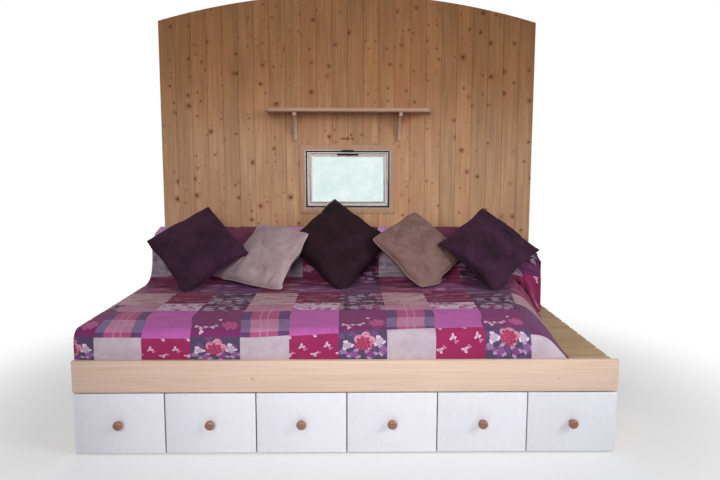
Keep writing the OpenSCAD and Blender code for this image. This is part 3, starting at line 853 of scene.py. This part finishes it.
# %% The quilt's cloths
EVERY, TIGHT = (PITCH, 9.0), (0.1, 0.1)
white, blush, lavender = (0.66, 0.52, 0.62), (0.6, 0.25, 0.38), (0.42, 0.28, 0.46)
dusk, deep_rose, bright_rose = (0.2, 0.1, 0.22), (0.45, 0.08, 0.18), (0.4, 0.05, 0.15)
PATCHES = {
    "cream": floral("Cream cotton", (0.51, 0.42, 0.475), [], (0.485, 0.395, 0.455)),
    "bolster_cream": floral("Cream print cotton", (0.4, 0.32, 0.37), [
        (13, 0.016, 5, 0.5, ((0.3, 0.2, 0.26), (0.2, 0.12, 0.17), (0.24, 0.2, 0.25)))],
        (0.34, 0.26, 0.31)),
    "pink_check": pink_check(),
    "taupe": floral("Taupe cotton", (0.47, 0.275, 0.315), [
        (22, 0.02, 5, 0.3, ((0.5, 0.32, 0.37), (0.42, 0.25, 0.3), (0.42, 0.25, 0.3)))],
        (0.43, 0.245, 0.285)),
    "rose_check": checked("Rose check cotton", (0.27, 0.045, 0.1), [
        ("along", 0.196, 0.05, 0.05, (0.13, 0.05, 0.12), 0.6),
        ("across", 0.12, 0.0, 0.04, (0.35, 0.1, 0.19), 0.6),
        ("across", 0.06, 0.02, 0.006, (0.12, 0.03, 0.09), 0.5)]),
    "lilac": floral("Lilac sprig cotton", (0.68, 0.34, 0.66), [
        (26, 0.012, 5, 0.6, ((0.62, 0.47, 0.6), (0.52, 0.34, 0.48), (0.35, 0.16, 0.3)))]),
    "crimson_sprig": floral("Crimson sprig cotton", (0.3, 0.024, 0.1), [], spots=[
        ((-0.178, -0.068), TIGHT, 0.5, 0.0085, 5, (white, deep_rose, white)),
        ((-0.166, -0.086), TIGHT, 2.0, 0.0055, 4, (blush, bright_rose, blush)),
        ((-0.128, -0.018), TIGHT, 1.4, 0.0085, 5, (white, deep_rose, white)),
        ((-0.112, -0.008), TIGHT, 0.2, 0.0055, 4, (blush, bright_rose, blush))]),
    "magenta": checked("Magenta crossweave", (0.47, 0.105, 0.37), [
        ("across", 0.009, 0.0, 0.0032, (0.56, 0.19, 0.47), 0.6),
        ("along", 0.009, 0.0, 0.0032, (0.37, 0.06, 0.28), 0.6),
        ("across", 0.08, 0.02, 0.01, (0.36, 0.07, 0.3), 0.3)]),
    "white_red": floral("White cotton with red marks", (0.55, 0.39, 0.48), [
        (22, 0.011, 3, 0.6, ((0.45, 0.06, 0.15), (0.3, 0.05, 0.1), (0.2, 0.1, 0.16))),
        (33, 0.008, 4, 0.4, ((0.24, 0.12, 0.21), (0.3, 0.18, 0.27), (0.36, 0.22, 0.32)))]),
    "crimson_oval": floral("Crimson cotton with salmon ovals", (0.165, 0.014, 0.055), [
        (13, 0.019, 2, 0.55, ((0.33, 0.08, 0.12), (0.22, 0.03, 0.075), (0.1, 0.013, 0.04)))]),
    "plum": floral("Plum print cotton", (0.2, 0.055, 0.14), [
        (11, 0.03, 6, 0.5, ((0.4, 0.17, 0.3), (0.25, 0.07, 0.17), (0.12, 0.04, 0.1)))]),
    "crimson_floral": floral("Crimson floral cotton", (0.25, 0.035, 0.1), [
        (9, 0.034, 6, 0.5, ((0.47, 0.2, 0.32), (0.32, 0.06, 0.14), (0.13, 0.03, 0.07)))]),
    "burgundy": floral("Burgundy print cotton", (0.145, 0.035, 0.075), [
        (10, 0.026, 5, 0.45, ((0.42, 0.17, 0.28), (0.25, 0.07, 0.13), (0.09, 0.035, 0.055)))]),
    "slate_rose": floral("Slate cotton with roses", (0.088, 0.058, 0.12), [
        (30, 0.011, 3, 0.45, ((0.19, 0.08, 0.21), (0.1, 0.045, 0.13), (0.15, 0.07, 0.17)))], spots=[
        ((0.03, -0.124), EVERY, 0.9, 0.017, 5, ((0.34, 0.12, 0.33), (0.12, 0.035, 0.14), lavender)),
        ((0.094, -0.126), EVERY, 2.0, 0.016, 5, ((0.3, 0.08, 0.27), (0.1, 0.03, 0.12), lavender)),
        ((-0.014, -0.108), EVERY, 2.9, 0.015, 4, (lavender, (0.12, 0.05, 0.17), (0.22, 0.09, 0.25))),
        ((0.144, -0.108), EVERY, 2.2, 0.017, 5, ((0.34, 0.14, 0.36), (0.12, 0.05, 0.17), lavender)),
        ((0.002, -0.077), EVERY, 0.3, 0.017, 3, (white, dusk, white)),
        ((0.128, -0.066), EVERY, 2.6, 0.017, 3, (white, dusk, white)),
        ((0.07, -0.064), EVERY, 0.5, 0.042, 5, ((0.6, 0.3, 0.4), (0.46, 0.1, 0.2), None)),
        ((0.064, -0.075), EVERY, 0.8, 0.034, 9, ((0.46, 0.08, 0.16), (0.2, 0.008, 0.05), None))]),
    "raspberry": floral("Raspberry floral cotton", (0.19, 0.03, 0.125), [
        (12, 0.02, 5, 0.35, ((0.28, 0.05, 0.16), (0.13, 0.02, 0.09), (0.12, 0.03, 0.11)))], spots=[
        ((-0.012, 0.058), EVERY, 0.4, 0.0075, 3, (white, blush, white)),
        ((0.004, 0.04), EVERY, 2.6, 0.0065, 2, (white, blush, blush)),
        ((0.024, 0.052), EVERY, 2.0, 0.0075, 3, (white, blush, blush)),
        ((0.008, 0.012), EVERY, 2.4, 0.006, 3, (white, blush, white)),
        ((0.05, 0.05), EVERY, 1.2, 0.0075, 3, (white, blush, white)),
        ((0.066, 0.072), EVERY, 0.3, 0.0065, 2, (white, blush, blush)),
        ((0.084, 0.165), EVERY, 2.9, 0.008, 3, (white, blush, (0.1, 0.05, 0.12))),
        ((0.12, 0.08), EVERY, 0.5, 0.034, 7, ((0.5, 0.105, 0.28), (0.33, 0.04, 0.16), None))],
        squash=0.58),
    "black_white": floral("Black and white foliage cotton", (0.045, 0.017, 0.042), [
        (21, 0.014, 3, 0.5, ((0.42, 0.3, 0.39), (0.1, 0.045, 0.09), (0.26, 0.16, 0.24))),
        (12, 0.02, 5, 0.3, ((0.38, 0.08, 0.2), (0.17, 0.03, 0.09), (0.14, 0.06, 0.12)))],
        (0.125, 0.025, 0.08), blocks=[(0.33, 0.4, 0.062, 0.03, (0.4, 0.25, 0.37)),
                                      (0.48, 0.497, 0.062, 0.045, (0.42, 0.31, 0.4)),
                                      (0.55, 0.565, 0.062, 0.03, (0.34, 0.24, 0.32))]),
    "purple": checked("Purple crossweave", (0.118, 0.032, 0.095), [
        ("across", 0.011, 0.0, 0.004, (0.18, 0.063, 0.155), 0.6),
        ("along", 0.011, 0.0, 0.004, (0.125, 0.036, 0.105), 0.6)]),
}
print("cloths:", len(PATCHES))

# %% [markdown]
# ## Mattress and bolsters
# Under the quilt lie a foam mattress, a long back bolster against the wall and a short one in
# the corner. They are covered in striped ticking with a piped seam. The blocks start as boxes
# with large bevels. The long one starts as a ring of points in the bolster's section, which has
# an upright front, two round shoulders and a flat base, and is extruded along the wall. It gets
# lower towards its right end, where the quilt pulls it down.

# %% Ticking
def ticking():
    """Cream cotton with narrow blue-grey stripes along the bed."""
    mat = finish_called("Striped ticking")
    place = put("TexCoord")["Object"]
    x = put("SeparateXYZ", {0: place})
    both = (stripes(x, 0.024, 0.0, 0.0045) | stripes(x, 0.024, 0.006, 0.0012)) * 0.75
    weave(place, tint(both, (0.6, 0.55, 0.47), (0.2, 0.23, 0.3)))
    return mat


ticking_cloth = ticking()


def soft_block(name, node, less_low, less_high, rounding, seams, rounded):
    """A foam block: a box with rounded edges and piped seams round it at some heights. It is
    smaller than its solid by the less values."""
    low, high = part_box(node)
    made = start_box(name, low + Vector(less_low), high - Vector(less_high))
    with editing(made):
        choose("edges", rounded)
        bpy.ops.mesh.bevel(offset=rounding, segments=8, affect="EDGES")
        for z in seams:
            for beside in (-0.004, 0.0, 0.004):
                slice_at((0, 0, low.z + z + beside), (0, 0, 1))
            choose("verts", lambda v: abs(v.co.z - low.z - z) < 1e-4)
            bpy.ops.transform.shrink_fatten(value=0.0025)
    finish(ease(made, 0.0015, 50), ticking_cloth, node)


soft_block("foam_mattress", "mattress", (0.001, 0.007, 0.0), (0.007, 0.004, 0.006), 0.04,
           (0.014, 0.082), lambda e: min(v.co.z for v in e.verts) > 0.45
           or all(v.co.x > 0.7 for v in e.verts) and reach(e, 2) > 0.05)
soft_block("corner_bolster", "end_bolster", (0.003, 0.006, 0), (0.003, 0.003, 0.003), 0.02,
           (0.016, 0.1), lambda e: True)

# %% Bolster section
FOOT_Y, TOP_Z, LOFT = -0.323, 0.512, 0.008
FRONT_R, BACK_R, UPRIGHT = 0.11, 0.09, 0.150
FRONT_MID, BACK_MID = Vector((-0.205, 0.662)), Vector((-0.135, 0.700))


def clip(value, low=0):
    """Keeps a share between low and one."""
    return min(max(value, low), 1)


def sink(x):
    """How much lower the bolster is than its full height, as a share, near its right end."""
    return 0.5 * clip((x - 0.9) / 0.195) ** 1.35


def over_bolster(s, skin=LOFT):
    """Point at a distance along the section, from its foot up the front and over the top."""
    front_r, back_r = FRONT_R + skin, BACK_R + skin
    gap = BACK_MID - FRONT_MID
    tilt = acos((front_r - back_r) / gap.length) + atan2(gap.y, gap.x)
    bend = (pi - tilt) * front_r
    flat = sqrt(gap.length ** 2 - (front_r - back_r) ** 2)
    if s < UPRIGHT:
        return Vector((FRONT_MID.x - front_r, FRONT_MID.y - UPRIGHT + s))
    if s < UPRIGHT + bend:
        a = pi - (s - UPRIGHT) / front_r
        return FRONT_MID + front_r * Vector((cos(a), sin(a)))
    past = s - UPRIGHT - bend
    if past < flat:
        start = FRONT_MID + front_r * Vector((cos(tilt), sin(tilt)))
        return start + past * Vector((sin(tilt), -cos(tilt)))
    a = tilt - (past - flat) / back_r
    return BACK_MID + back_r * Vector((cos(a), sin(a)))


print("top of the quilt on the bolster:", round(max(over_bolster(k / 100).y for k in range(60)), 3))

# %% Back bolster
OVER, BACK_Y, BASE_Z, BASE_WIDE, LENGTHS = 0.523, -0.048, 0.505, 0.264, 60
low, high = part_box("back_bolster")
section = [over_bolster(OVER * k / 48, -0.003) for k in range(49)]
section += [Vector((BACK_Y, BACK_MID.y - (BACK_MID.y - BASE_Z) * k / 7)) for k in range(1, 8)]
section += [Vector((BACK_Y - BASE_WIDE * k / 8, BASE_Z)) for k in range(1, 8)]
bolster = primitive("long_bolster", bpy.ops.mesh.primitive_circle_add,
                    vertices=len(section), radius=0.1)
for v, point in zip(bolster.data.vertices, section):
    v.co = (low.x + 0.002, point.x, point.y + 0.001)
with editing(bolster):
    bpy.ops.mesh.edge_face_add()
    for k in range(LENGTHS):
        bpy.ops.mesh.extrude_region_move(TRANSFORM_OT_translate={
            "value": ((high.x - low.x - 0.004) / LENGTHS, 0, 0)})
    bpy.ops.mesh.select_all(action="SELECT")
    bpy.ops.mesh.normals_make_consistent(inside=False)
    choose("faces", lambda f: len(f.verts) > 10)
    bpy.ops.mesh.inset(thickness=0.012)
    bpy.ops.mesh.inset(thickness=0.03, depth=0.001)
    bpy.ops.mesh.poke()
base = low.z + 0.001
for v in bolster.data.vertices:
    v.co.z = base + (v.co.z - base) * (1 - sink(v.co.x))
finish(ease(bolster, 0.0015, 50), ticking_cloth, "back_bolster")

# %% [markdown]
# ## Quilt
# The quilt is one sheet. It is tucked behind the rail, goes over the mattress, up the bolster
# and down the free end of the bed, where it spans the corner in front of the short bolster and
# slopes as a web to the slats. The sheet is laid as a grid whose lines follow the seams
# of the patches, because a draped simulation would let the patches wander. The patches fan out
# towards the wall, as in the photo. Distances across and along the cloth are kept as its UV map.
# Its foot is relaxed into a hollow, the seams are pressed in, and soft folds and rumples are
# added before Solidify gives the cloth its thickness.

# %% Quilt layout
COLUMNS = [-1.095, -1.01, -0.815, -0.62, -0.422, -0.228, -0.033, 0.160, 0.354, 0.554, 0.751,
           0.881, 1.095]
UNDER = -9
# columns of three kinds, P, Q and R, repeat across the bed. A row says where its cloth starts,
# in metres of cloth from where it turns down at the front
ROWS = {
    "P": [(UNDER, "cream"), (-0.015, "pink_check"), (0.44, "taupe"), (0.685, "rose_check"),
          (1.015, "bolster_cream"), (1.28, "lilac")],
    "Q": [(UNDER, "crimson_sprig"), (-0.02, "magenta"), (0.33, "white_red"),
          (0.465, "crimson_oval"), (0.71, "plum"), (0.91, "crimson_floral"), (1.25, "burgundy")],
    "R": [(UNDER, "slate_rose"), (-0.012, "raspberry"), (0.32, "black_white"), (0.675, "purple"),
          (0.975, "black_white"), (1.25, "burgundy")],
    "side": [(UNDER, "cream"), (-0.05, "purple"), (0.44, "taupe"), (0.685, "rose_check"),
             (1.07, "bolster_cream"), (1.28, "lilac")],
    "end": [(UNDER, "crimson_sprig"), (1.085, "purple"), (1.16, "black_white"),
            (1.33, "raspberry")],
}
ORDER = list(PATCHES)
SEAMS_ALONG = sorted({s for rows in ROWS.values() for s, cloth in rows if s > UNDER})
FOOT, TOP_END = 1.037, 1.552
LEFT_X, RIGHT_X = COLUMNS[0], COLUMNS[-1]


def cloth_at(across, along):
    """Number of the cloth at a place of the quilt. The last two columns are the free end."""
    # behind the first rows the narrow strip at the left belongs to the column beside it
    column = max(sum(across > c for c in COLUMNS) - 1, 1 if along > 0.44 else 0)
    kind = "end" if column > 10 and along > FOOT else "side" if column > 9 else "RPQ"[column % 3]
    return ORDER.index([cloth for s, cloth in ROWS[kind] if s < along][-1])


print("patch seams along the bed:", SEAMS_ALONG)


# %% Quilt course
STEP = 0.0125
ROUND, FRONT, END_X, DROP = 0.053, -1.36, 0.755, 0.079
QUARTER = ROUND * pi / 2
HEM = -QUARTER - DROP


def stations(marks):
    """Places from the first mark to the last, about a step apart, with every mark among them."""
    out = [marks[0]]
    for a, b in zip(marks, marks[1:]):
        n = max(1, round((b - a) / STEP))
        out += [a + (b - a) * k / n for k in range(1, n + 1)]
    return out


def fanned(across, along):
    """The patches get wider towards the wall, most of all in the middle of the bed."""
    ramp = clip(along / 0.25)
    share = 1 - min(abs(across) / (END_X if across > 0 else -LEFT_X), 1) ** 4
    return across * (1 + (0.02 + 0.08 * ramp * ramp * (3 - 2 * ramp)) * share)


def laid(across, along):
    """Where a place of the quilt lies on the bed, before it is relaxed."""
    # the front rows lie a little askew: they come forward at the left
    skew = 0.045 * clip((0.3 - across) / 0.65, -0.4) * clip((END_X - across) / 0.12)
    s = along - skew * exp(-(along / 0.45) ** 2) * clip((along - HEM) / 0.1)
    hollow = 0.16 * clip((0.8 - across) / 0.25)
    across = fanned(across, along)
    # at the foot of the bolster the cloth spans a curve of this reach both ways
    if hollow and abs(along - FOOT) < hollow:
        t = (along - FOOT + hollow) / (2 * hollow)
        y = FOOT_Y - hollow * (1 - t) ** 2
        return Vector((min(across, END_X + ROUND), y, TOP_Z + hollow * t ** 2))
    if along > FOOT:
        y, z = over_bolster(along - FOOT)
        return Vector((across, y, TOP_Z + (z - TOP_Z) * (1 - sink(across))))
    # past the front edge and the free end the cloth turns down over a round of one radius
    t = max(across - END_X, 0)
    back = max(-s, 0)
    a, b = min(back / ROUND, pi / 2), min(t / ROUND, pi / 2)
    steep = max(a, b)
    way = 0.0 if steep == 0 else b / a * pi / 4 if b <= a else (2 - a / b) * pi / 4
    hang = max(back - QUARTER, 0) + max(t - QUARTER, 0)
    out = ROUND * sin(steep)
    return Vector((min(across, END_X) + out * sin(way),
                   FRONT + max(s, 0) - out * cos(way),
                   TOP_Z - ROUND + ROUND * cos(steep) - hang))


# %% Free end of the quilt
def spread(place):
    """The web of cloth that slopes from the free end and the short bolster to the slats."""
    x, y, z = place
    if x < 0.5:
        return place
    rise = 0.5 - 0.5 * cos(pi * min((x - 0.5) / 0.26, 1))
    rest = 1 - max(x - (END_X + ROUND), 0) / (RIGHT_X - END_X - ROUND)
    depth = clip((y - FRONT) / (FOOT_Y - FRONT))
    high = clip((0.70 - z) / 0.17)
    low = clip((TOP_Z - z) / (ROUND + DROP)) * clip((x - END_X) / ROUND)
    x += 0.165 * rise * rest * depth ** 1.4 * high
    forward = 0.337 * depth ** 2.5
    hem = 0.92 + 0.086 * ((FOOT * depth - forward) / 0.7) ** 1.3
    return Vector((x + low * (RIGHT_X - rest * (RIGHT_X - hem) - x), y - low * rest * forward, z))


# %% Quilt grid
hems = [QUARTER + DROP * k / 6 for k in range(1, 7)]
acrosses = stations([c for c in COLUMNS if c < END_X] + [END_X])
alongs = [-t for t in hems[::-1]] + stations([-QUARTER, *(s for s in SEAMS_ALONG if s < FOOT), FOOT])
end_steps = stations([0, QUARTER]) + hems
uppers = stations([FOOT, *(s for s in SEAMS_ALONG if s > FOOT), TOP_END])
WEB = 0.34
strip = [WEB * k / 27 for k in range(28)]
print("quilt grid:", len(acrosses) + len(strip) - 1, "by", len(alongs) + len(uppers) - 1)

# %% Quilt sheet
sheet_mesh = bmesh.new()
uv = sheet_mesh.loops.layers.uv.new("cloth")
corners = {}


def corner(place, mark):
    """One point of the sheet, shared by the faces that meet there."""
    key = tuple(round(c * 20000) for c in place)
    if key not in corners:
        corners[key] = sheet_mesh.verts.new(place)
    return corners[key], mark


def patch(four, cloth):
    """A face between four points, with its cloth and its place on the cloth."""
    marks = dict(four)
    if len(marks) > 2:
        face = sheet_mesh.faces.new(list(marks))
        face.material_index = cloth
        for loop in face.loops:
            loop[uv].uv = marks[loop.vert]


def flat_place(across, along):
    """A place of the quilt with its mark on the cloth."""
    return laid(across, along), (across, along)


def on_strip(k, t):
    """A place of the strip that hangs in front of the short bolster."""
    edge = laid(END_X + t, FOOT)
    place = Vector((edge.x + (RIGHT_X - edge.x) * k / WEB, FOOT_Y, edge.z))
    far = (spread(place) - spread(Vector((place.x, FOOT_Y, TOP_Z)))).length
    return place, (spread(place).x, FOOT - far)


def lay(columns, rows, place=flat_place, name=None):
    """A field of faces between columns and rows."""
    for a, b in zip(columns, columns[1:]):
        for c, d in zip(rows, rows[1:]):
            four = [corner(*place(p, q)) for p, q in ((a, c), (b, c), (b, d), (a, d))]
            if c >= FOOT and a > COLUMNS[-2] - 0.01:
                # the web widens the cloth here, and its print stays as wide as it is
                four = [(v, (spread(v.co).x, mark[1])) for v, mark in four]
            middle = place((a + b) / 2, (c + d) / 2)[1]
            patch(four, ORDER.index(name) if name else cloth_at(*middle))


NEAR = 1e-6
main = acrosses + [END_X + t for t in end_steps[1:]]
lay([c for c in main if c <= END_X + QUARTER + NEAR], alongs)
lay([c for c in main if c >= END_X + QUARTER - NEAR], [s for s in alongs if s >= -QUARTER - NEAR])
lay(acrosses + [END_X + k for k in strip[1:]], uppers)
lay(strip, end_steps, on_strip, "crimson_sprig")
print("quilt corners:", len(sheet_mesh.verts), "faces:", len(sheet_mesh.faces))

# %% Quilt hollow
for v in sheet_mesh.verts:
    v.co = spread(v.co)
bmesh.ops.recalc_face_normals(sheet_mesh, faces=sheet_mesh.faces)
sheet_mesh.normal_update()
if sum(f.normal.z * f.calc_area() for f in sheet_mesh.faces) < 0:
    bmesh.ops.reverse_faces(sheet_mesh, faces=sheet_mesh.faces)
hollow = [v for v in sheet_mesh.verts if not v.is_boundary and (
    abs(v.co.y - FOOT_Y) < 0.055 and v.co.z < 0.58 or v.co.x > 0.7 and v.co.z > 0.395)]
for k in range(14):
    bmesh.ops.smooth_vert(sheet_mesh, verts=hollow, factor=0.5, use_axis_x=True, use_axis_y=True,
                          use_axis_z=True)
sheet_mesh.normal_update()
print("relaxed points:", len(hollow))

# %% Quilt folds
seams = [e for e in sheet_mesh.edges if len({f.material_index for f in e.link_faces}) > 1]
near_seam = KDTree(len(seams))
for k, e in enumerate(seams):
    near_seam.insert((e.verts[0].co + e.verts[1].co) / 2, k)
near_seam.balance()


def rumpled(v):
    """How a point moves: in at the seams, in soft billows, and in folds at the tired back."""
    x, y, z = v.co
    press = -0.0022 * exp(-(near_seam.find(v.co)[2] / 0.009) ** 2)
    billow = 0.0035 * noise.noise(Vector((x * 3.1, y * 3.1, z * 4.0)))
    crease = 0.0055 * noise.noise(Vector((x * 5.5, (y + z) * 30.0 + x * 3.0, 3.0)))
    tired = clip((y + 0.95) / 0.45) * clip((0.72 - z) / 0.1) * clip((x + 1.08) / 0.15, 0.1)
    wave = max(sin(74 * (y + 0.06 * noise.noise(Vector((x * 1.9, 0.3, 7.0))))), 0) ** 1.5
    where = clip(noise.noise(Vector((x * 2.6, y * 4.0, 5.0))) * 2.5 + 0.6)
    return v.normal * (press + billow + tired * (crease + 0.011 * wave * where) - 0.001)


moves = [rumpled(v) for v in sheet_mesh.verts]
for v, move in zip(sheet_mesh.verts, moves):
    v.co += move
quilt_face = BVHTree.FromBMesh(sheet_mesh)
print("folds move the cloth by up to", round(max(move.length for move in moves), 4))

# %% Quilt thickness
quilt = new_object("patchwork_quilt", bpy.data.meshes.new("patchwork_quilt"))
sheet_mesh.to_mesh(quilt.data)
sheet_mesh.free()
for mat in PATCHES.values():
    quilt.data.materials.append(mat)
modify(quilt, "Wadding", "SOLIDIFY", thickness=0.005, offset=-1, use_even_offset=False)
bpy.ops.object.shade_smooth()
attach(quilt, "hut_end")
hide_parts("quilt")
print("quilt triangles:", sum(len(p.vertices) - 2 for p in quilt.data.polygons))

# %% [markdown]
# ## Cushion covers
# The three dark covers are crushed velvet: nearly black plum that shines where the pile lies
# over. The two pale ones are soft suede cloth with cloudy marks where a hand has brushed it, and
# have a lighter corded edge. Sheen gives both the bright rim that cloth with a pile has.

# %% Pile cloths
def pile_cloth(name, deep, lit, sheen, sheen_is, cloud, soft):
    """Velvet or suede: two tones in clouds, with a sheen of its own colour."""
    mat = finish_called(name, {"Sheen Weight": sheen, "Sheen Roughness": 0.45,
                               "Sheen Tint": sheen_is, "Specular IOR Level": 0.2})
    place = put("TexCoord")["Object"]
    clouds = speckle(place, cloud, 4.0, 0.62)
    pile = speckle(place, 700.0, 1.0)
    share = pile * 0.3 + fade(clouds, 0.5 - soft, 0.5 + soft, 0.0, 0.8)
    wear(tint(share, deep, lit), fade(pile, 0.3, 0.7, 0.75, 0.95), clouds * 2.0 + pile,
         0.35, 0.0007)
    return mat


CRUSHED, BRUSHED = (9.0, 0.16), (17.0, 0.12)
plum_velvet = pile_cloth("Plum velvet", (0.0175, 0.004, 0.0125), (0.046, 0.0135, 0.034), 0.1,
                         (0.5, 0.3, 0.5), *CRUSHED)
aubergine_velvet = pile_cloth("Aubergine velvet", (0.005, 0.001, 0.0025), (0.024, 0.006, 0.012),
                              0.05, (0.45, 0.3, 0.4), *CRUSHED)
cream_suede = pile_cloth("Cream suede cloth", (0.335, 0.235, 0.255), (0.43, 0.315, 0.335), 0.1,
                         (0.8, 0.75, 0.8), *BRUSHED)
beige_suede = pile_cloth("Beige suede cloth", (0.165, 0.092, 0.078), (0.225, 0.132, 0.113), 0.08,
                         (0.8, 0.7, 0.7), *BRUSHED)
cream_cord = mottled("Cream cord", (0.5, 0.39, 0.4), (0.43, 0.32, 0.33), 300.0, 0.85)
beige_cord = mottled("Beige cord", (0.3, 0.2, 0.175), (0.25, 0.16, 0.14), 300.0, 0.85)
covers = (plum_velvet, aubergine_velvet, cream_suede, beige_suede)
print("pile cloths:", [m.name for m in covers])

# %% [markdown]
# ## Cushions
# A scatter cushion is two squares of cloth sewn together and filled, so its sides pull in
# between pointed corners and short creases run in from the seam. That shape is what a cloth
# simulation with air pressure gives: each cover starts low and is blown up. The finished
# cushion gets the dents and the uneven edges of a fill that has settled, is turned to lean on
# the bolster, and spreads at its foot. Where it meets the quilt or the cushion in front it gives
# way, so that it is flat only where it rests.

# %% Cushion cover
CELLS = 40


def cover(side, bulge, blunt):
    """Two square grids that share their rim, upright across the bed, and the rim's order."""
    n, half = CELLS, side / 2
    points, faces, number = [], [], {}
    for layer in (0, 1):
        for i in range(n + 1):
            for j in range(n + 1):
                if layer and (i in (0, n) or j in (0, n)):
                    number[1, i, j] = number[0, i, j]
                    continue
                p, q = 2 * i / n - 1, 2 * j / n - 1
                full = sqrt(max((1 - p * p) * (1 - q * q), 0)) * bulge
                round_off = 1 - blunt * abs(p * q) ** 5
                number[layer, i, j] = len(points)
                points.append((p * half * round_off * (1 - 0.02 * (1 - q * q)),
                               full if layer else -full,
                               q * half * round_off * (1 - 0.02 * (1 - p * p))))
        for i in range(n):
            for j in range(n):
                four = [number[layer, *c] for c in ((i, j), (i + 1, j), (i + 1, j + 1), (i, j + 1))]
                faces.append(four[::-1] if layer else four)
    rim = [number[0, i, 0] for i in range(n)] + [number[0, n, j] for j in range(n)]
    rim += [number[0, i, n] for i in range(n, 0, -1)] + [number[0, 0, j] for j in range(n, 0, -1)]
    return points, faces, rim


# %% Filling and sewing
FRAMES = 14


def blow_up(piece):
    """Fills a cover with air by a cloth simulation and keeps the result."""
    make_active(piece)
    filled = piece.modifiers.new("Filled cover", "CLOTH")
    cloth = filled.settings
    cloth.quality, cloth.mass = 6, 0.25
    cloth.tension_stiffness = cloth.compression_stiffness = 30
    cloth.shear_stiffness, cloth.bending_stiffness = 6, 0.4
    cloth.use_pressure, cloth.uniform_pressure_force = True, 1.0
    cloth.effector_weights.gravity = 0
    cloth.air_damping = 2.0
    filled.point_cache.frame_start, filled.point_cache.frame_end = 1, FRAMES
    for k in range(1, FRAMES + 1):
        bpy.context.scene.frame_set(k)
    bpy.ops.object.modifier_apply(modifier=filled.name)
    bpy.context.scene.frame_set(1)


def corded(piece, rim, width, mat):
    """Sews a cord round the seam and joins it to the cover."""
    line = bpy.data.curves.new("cord", "CURVE")
    line.dimensions = "3D"
    line.bevel_depth, line.bevel_resolution = width, 2
    run = line.splines.new("POLY")
    run.points.add(len(rim) - 1)
    for point, v in zip(run.points, rim):
        point.co = (*v, 1)
    run.use_cyclic_u = True
    cord = new_object("cord", line)
    make_active(cord)
    bpy.ops.object.convert(target="MESH")
    cord.data.materials.append(mat)
    join(piece.name, [piece, cord])


def settle(mesh, seed):
    """Dents the faces of a cushion, makes its edges uneven and spreads its foot."""
    for v in mesh.vertices:
        spot = Vector((v.co.x * 9, seed, v.co.z * 9))
        valley = max(1 - abs(noise.noise(spot * 1.1 + Vector((4, 0, 2)))) / 0.09, 0)
        dent = 0.013 * noise.noise(spot) - 0.018 * valley * max(noise.noise(spot * 0.5) + 0.4, 0)
        v.co.y -= dent * min(abs(v.co.y) / 0.02, 1) * (1 if v.co.y < 0 else -1)
        v.co.x += 0.009 * noise.noise(spot * 1.3 + Vector((0, 5, 0)))
        v.co.z += 0.009 * noise.noise(spot * 1.3 + Vector((7, 0, 0)))
    seat = min(mesh.vertices, key=lambda v: v.co.z).co.copy()
    for v in mesh.vertices:
        rise = max(v.co.z - seat.z, 0.004)
        if rise < 0.16:
            v.co.x = seat.x + (v.co.x - seat.x) * min((0.024 + 0.85 * rise) / rise, 2.2)


# %% Cushion
CLEAR, CORD, SEAM = 0.0015, 0.0036, 0.0022
resting_on = [quilt_face]


def cushion(name, node, side, thick, at, turns, mat, cord_mat=None, blunt=0.03):
    """Makes, fills, turns and beds a cushion. turns are its yaw, its lean and its own spin."""
    points, faces, rim = cover(side, thick * 0.5 * (0.7), blunt)
    mesh = bpy.data.meshes.new(name)
    mesh.from_pydata(points, [], faces)
    piece = new_object(name, mesh)
    blow_up(piece)
    # back to the real size, since the air makes it thicker and pulls its sides in
    wide, deep = max(abs(v.co.x) for v in mesh.vertices), max(abs(v.co.y) for v in mesh.vertices)
    yaw, lean, spin = (radians(t) for t in turns)
    stand = Matrix.Translation(at) @ Matrix.Rotation(yaw, 4, "Z") @ Matrix.Rotation(-lean, 4, "X")
    spun = Matrix.Rotation(radians(45) + spin, 4, "Y")
    size = side * (1 - blunt) / 2
    for v in mesh.vertices:
        v.co = spun @ Vector((v.co.x * size / wide, v.co.y * thick / 2 / deep, v.co.z * size / wide))
    settle(mesh, at[0] * 7)
    mesh.transform(stand)
    modify(piece, "Smooth", "SUBSURF", levels=1, render_levels=1)
    # what would cut into the quilt or an earlier cushion is pushed back to its surface
    for v in mesh.vertices:
        for other in resting_on:
            spot, normal = other.find_nearest(v.co, 0.09)[:2]
            if spot is not None and (v.co - spot).dot(normal) < CLEAR:
                v.co = spot + normal * CLEAR
    mesh.update()
    resting_on.append(BVHTree.FromPolygons(
        [v.co for v in mesh.vertices], [p.vertices for p in mesh.polygons]))
    finish(piece, mat, node)
    seam = [mesh.vertices[k].co.copy() for k in rim]
    corded(piece, seam, CORD if cord_mat else SEAM, cord_mat or mat)
    bpy.ops.object.shade_smooth()


# %% The five cushions
cushion("plum_cushion_left", "cushion_1_plum", 0.405, 0.11,
        (-0.810, -0.462, 0.721), (4, 42, 8.5), plum_velvet, blunt=0.02)
cushion("plum_cushion_right", "cushion_5_plum", 0.408, 0.11,
        (0.775, -0.427, 0.715), (8.5, 44, 6), plum_velvet, blunt=0.0)
cushion("cream_cushion", "cushion_2_cream", 0.395, 0.11,
        (-0.435, -0.465, 0.678), (-31, 43, -38), cream_suede, cream_cord, 0.06)
cushion("beige_cushion", "cushion_4_beige", 0.405, 0.11,
        (0.390, -0.421, 0.709), (23.5, 44, 16.5), beige_suede, beige_cord, 0.05)
cushion("large_plum_cushion", "cushion_3_large_plum", 0.446, 0.12,
        (-0.054, -0.374, 0.732), (3, 42, -2), aubergine_velvet, blunt=0.01)

# %% Sizes
low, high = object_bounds()
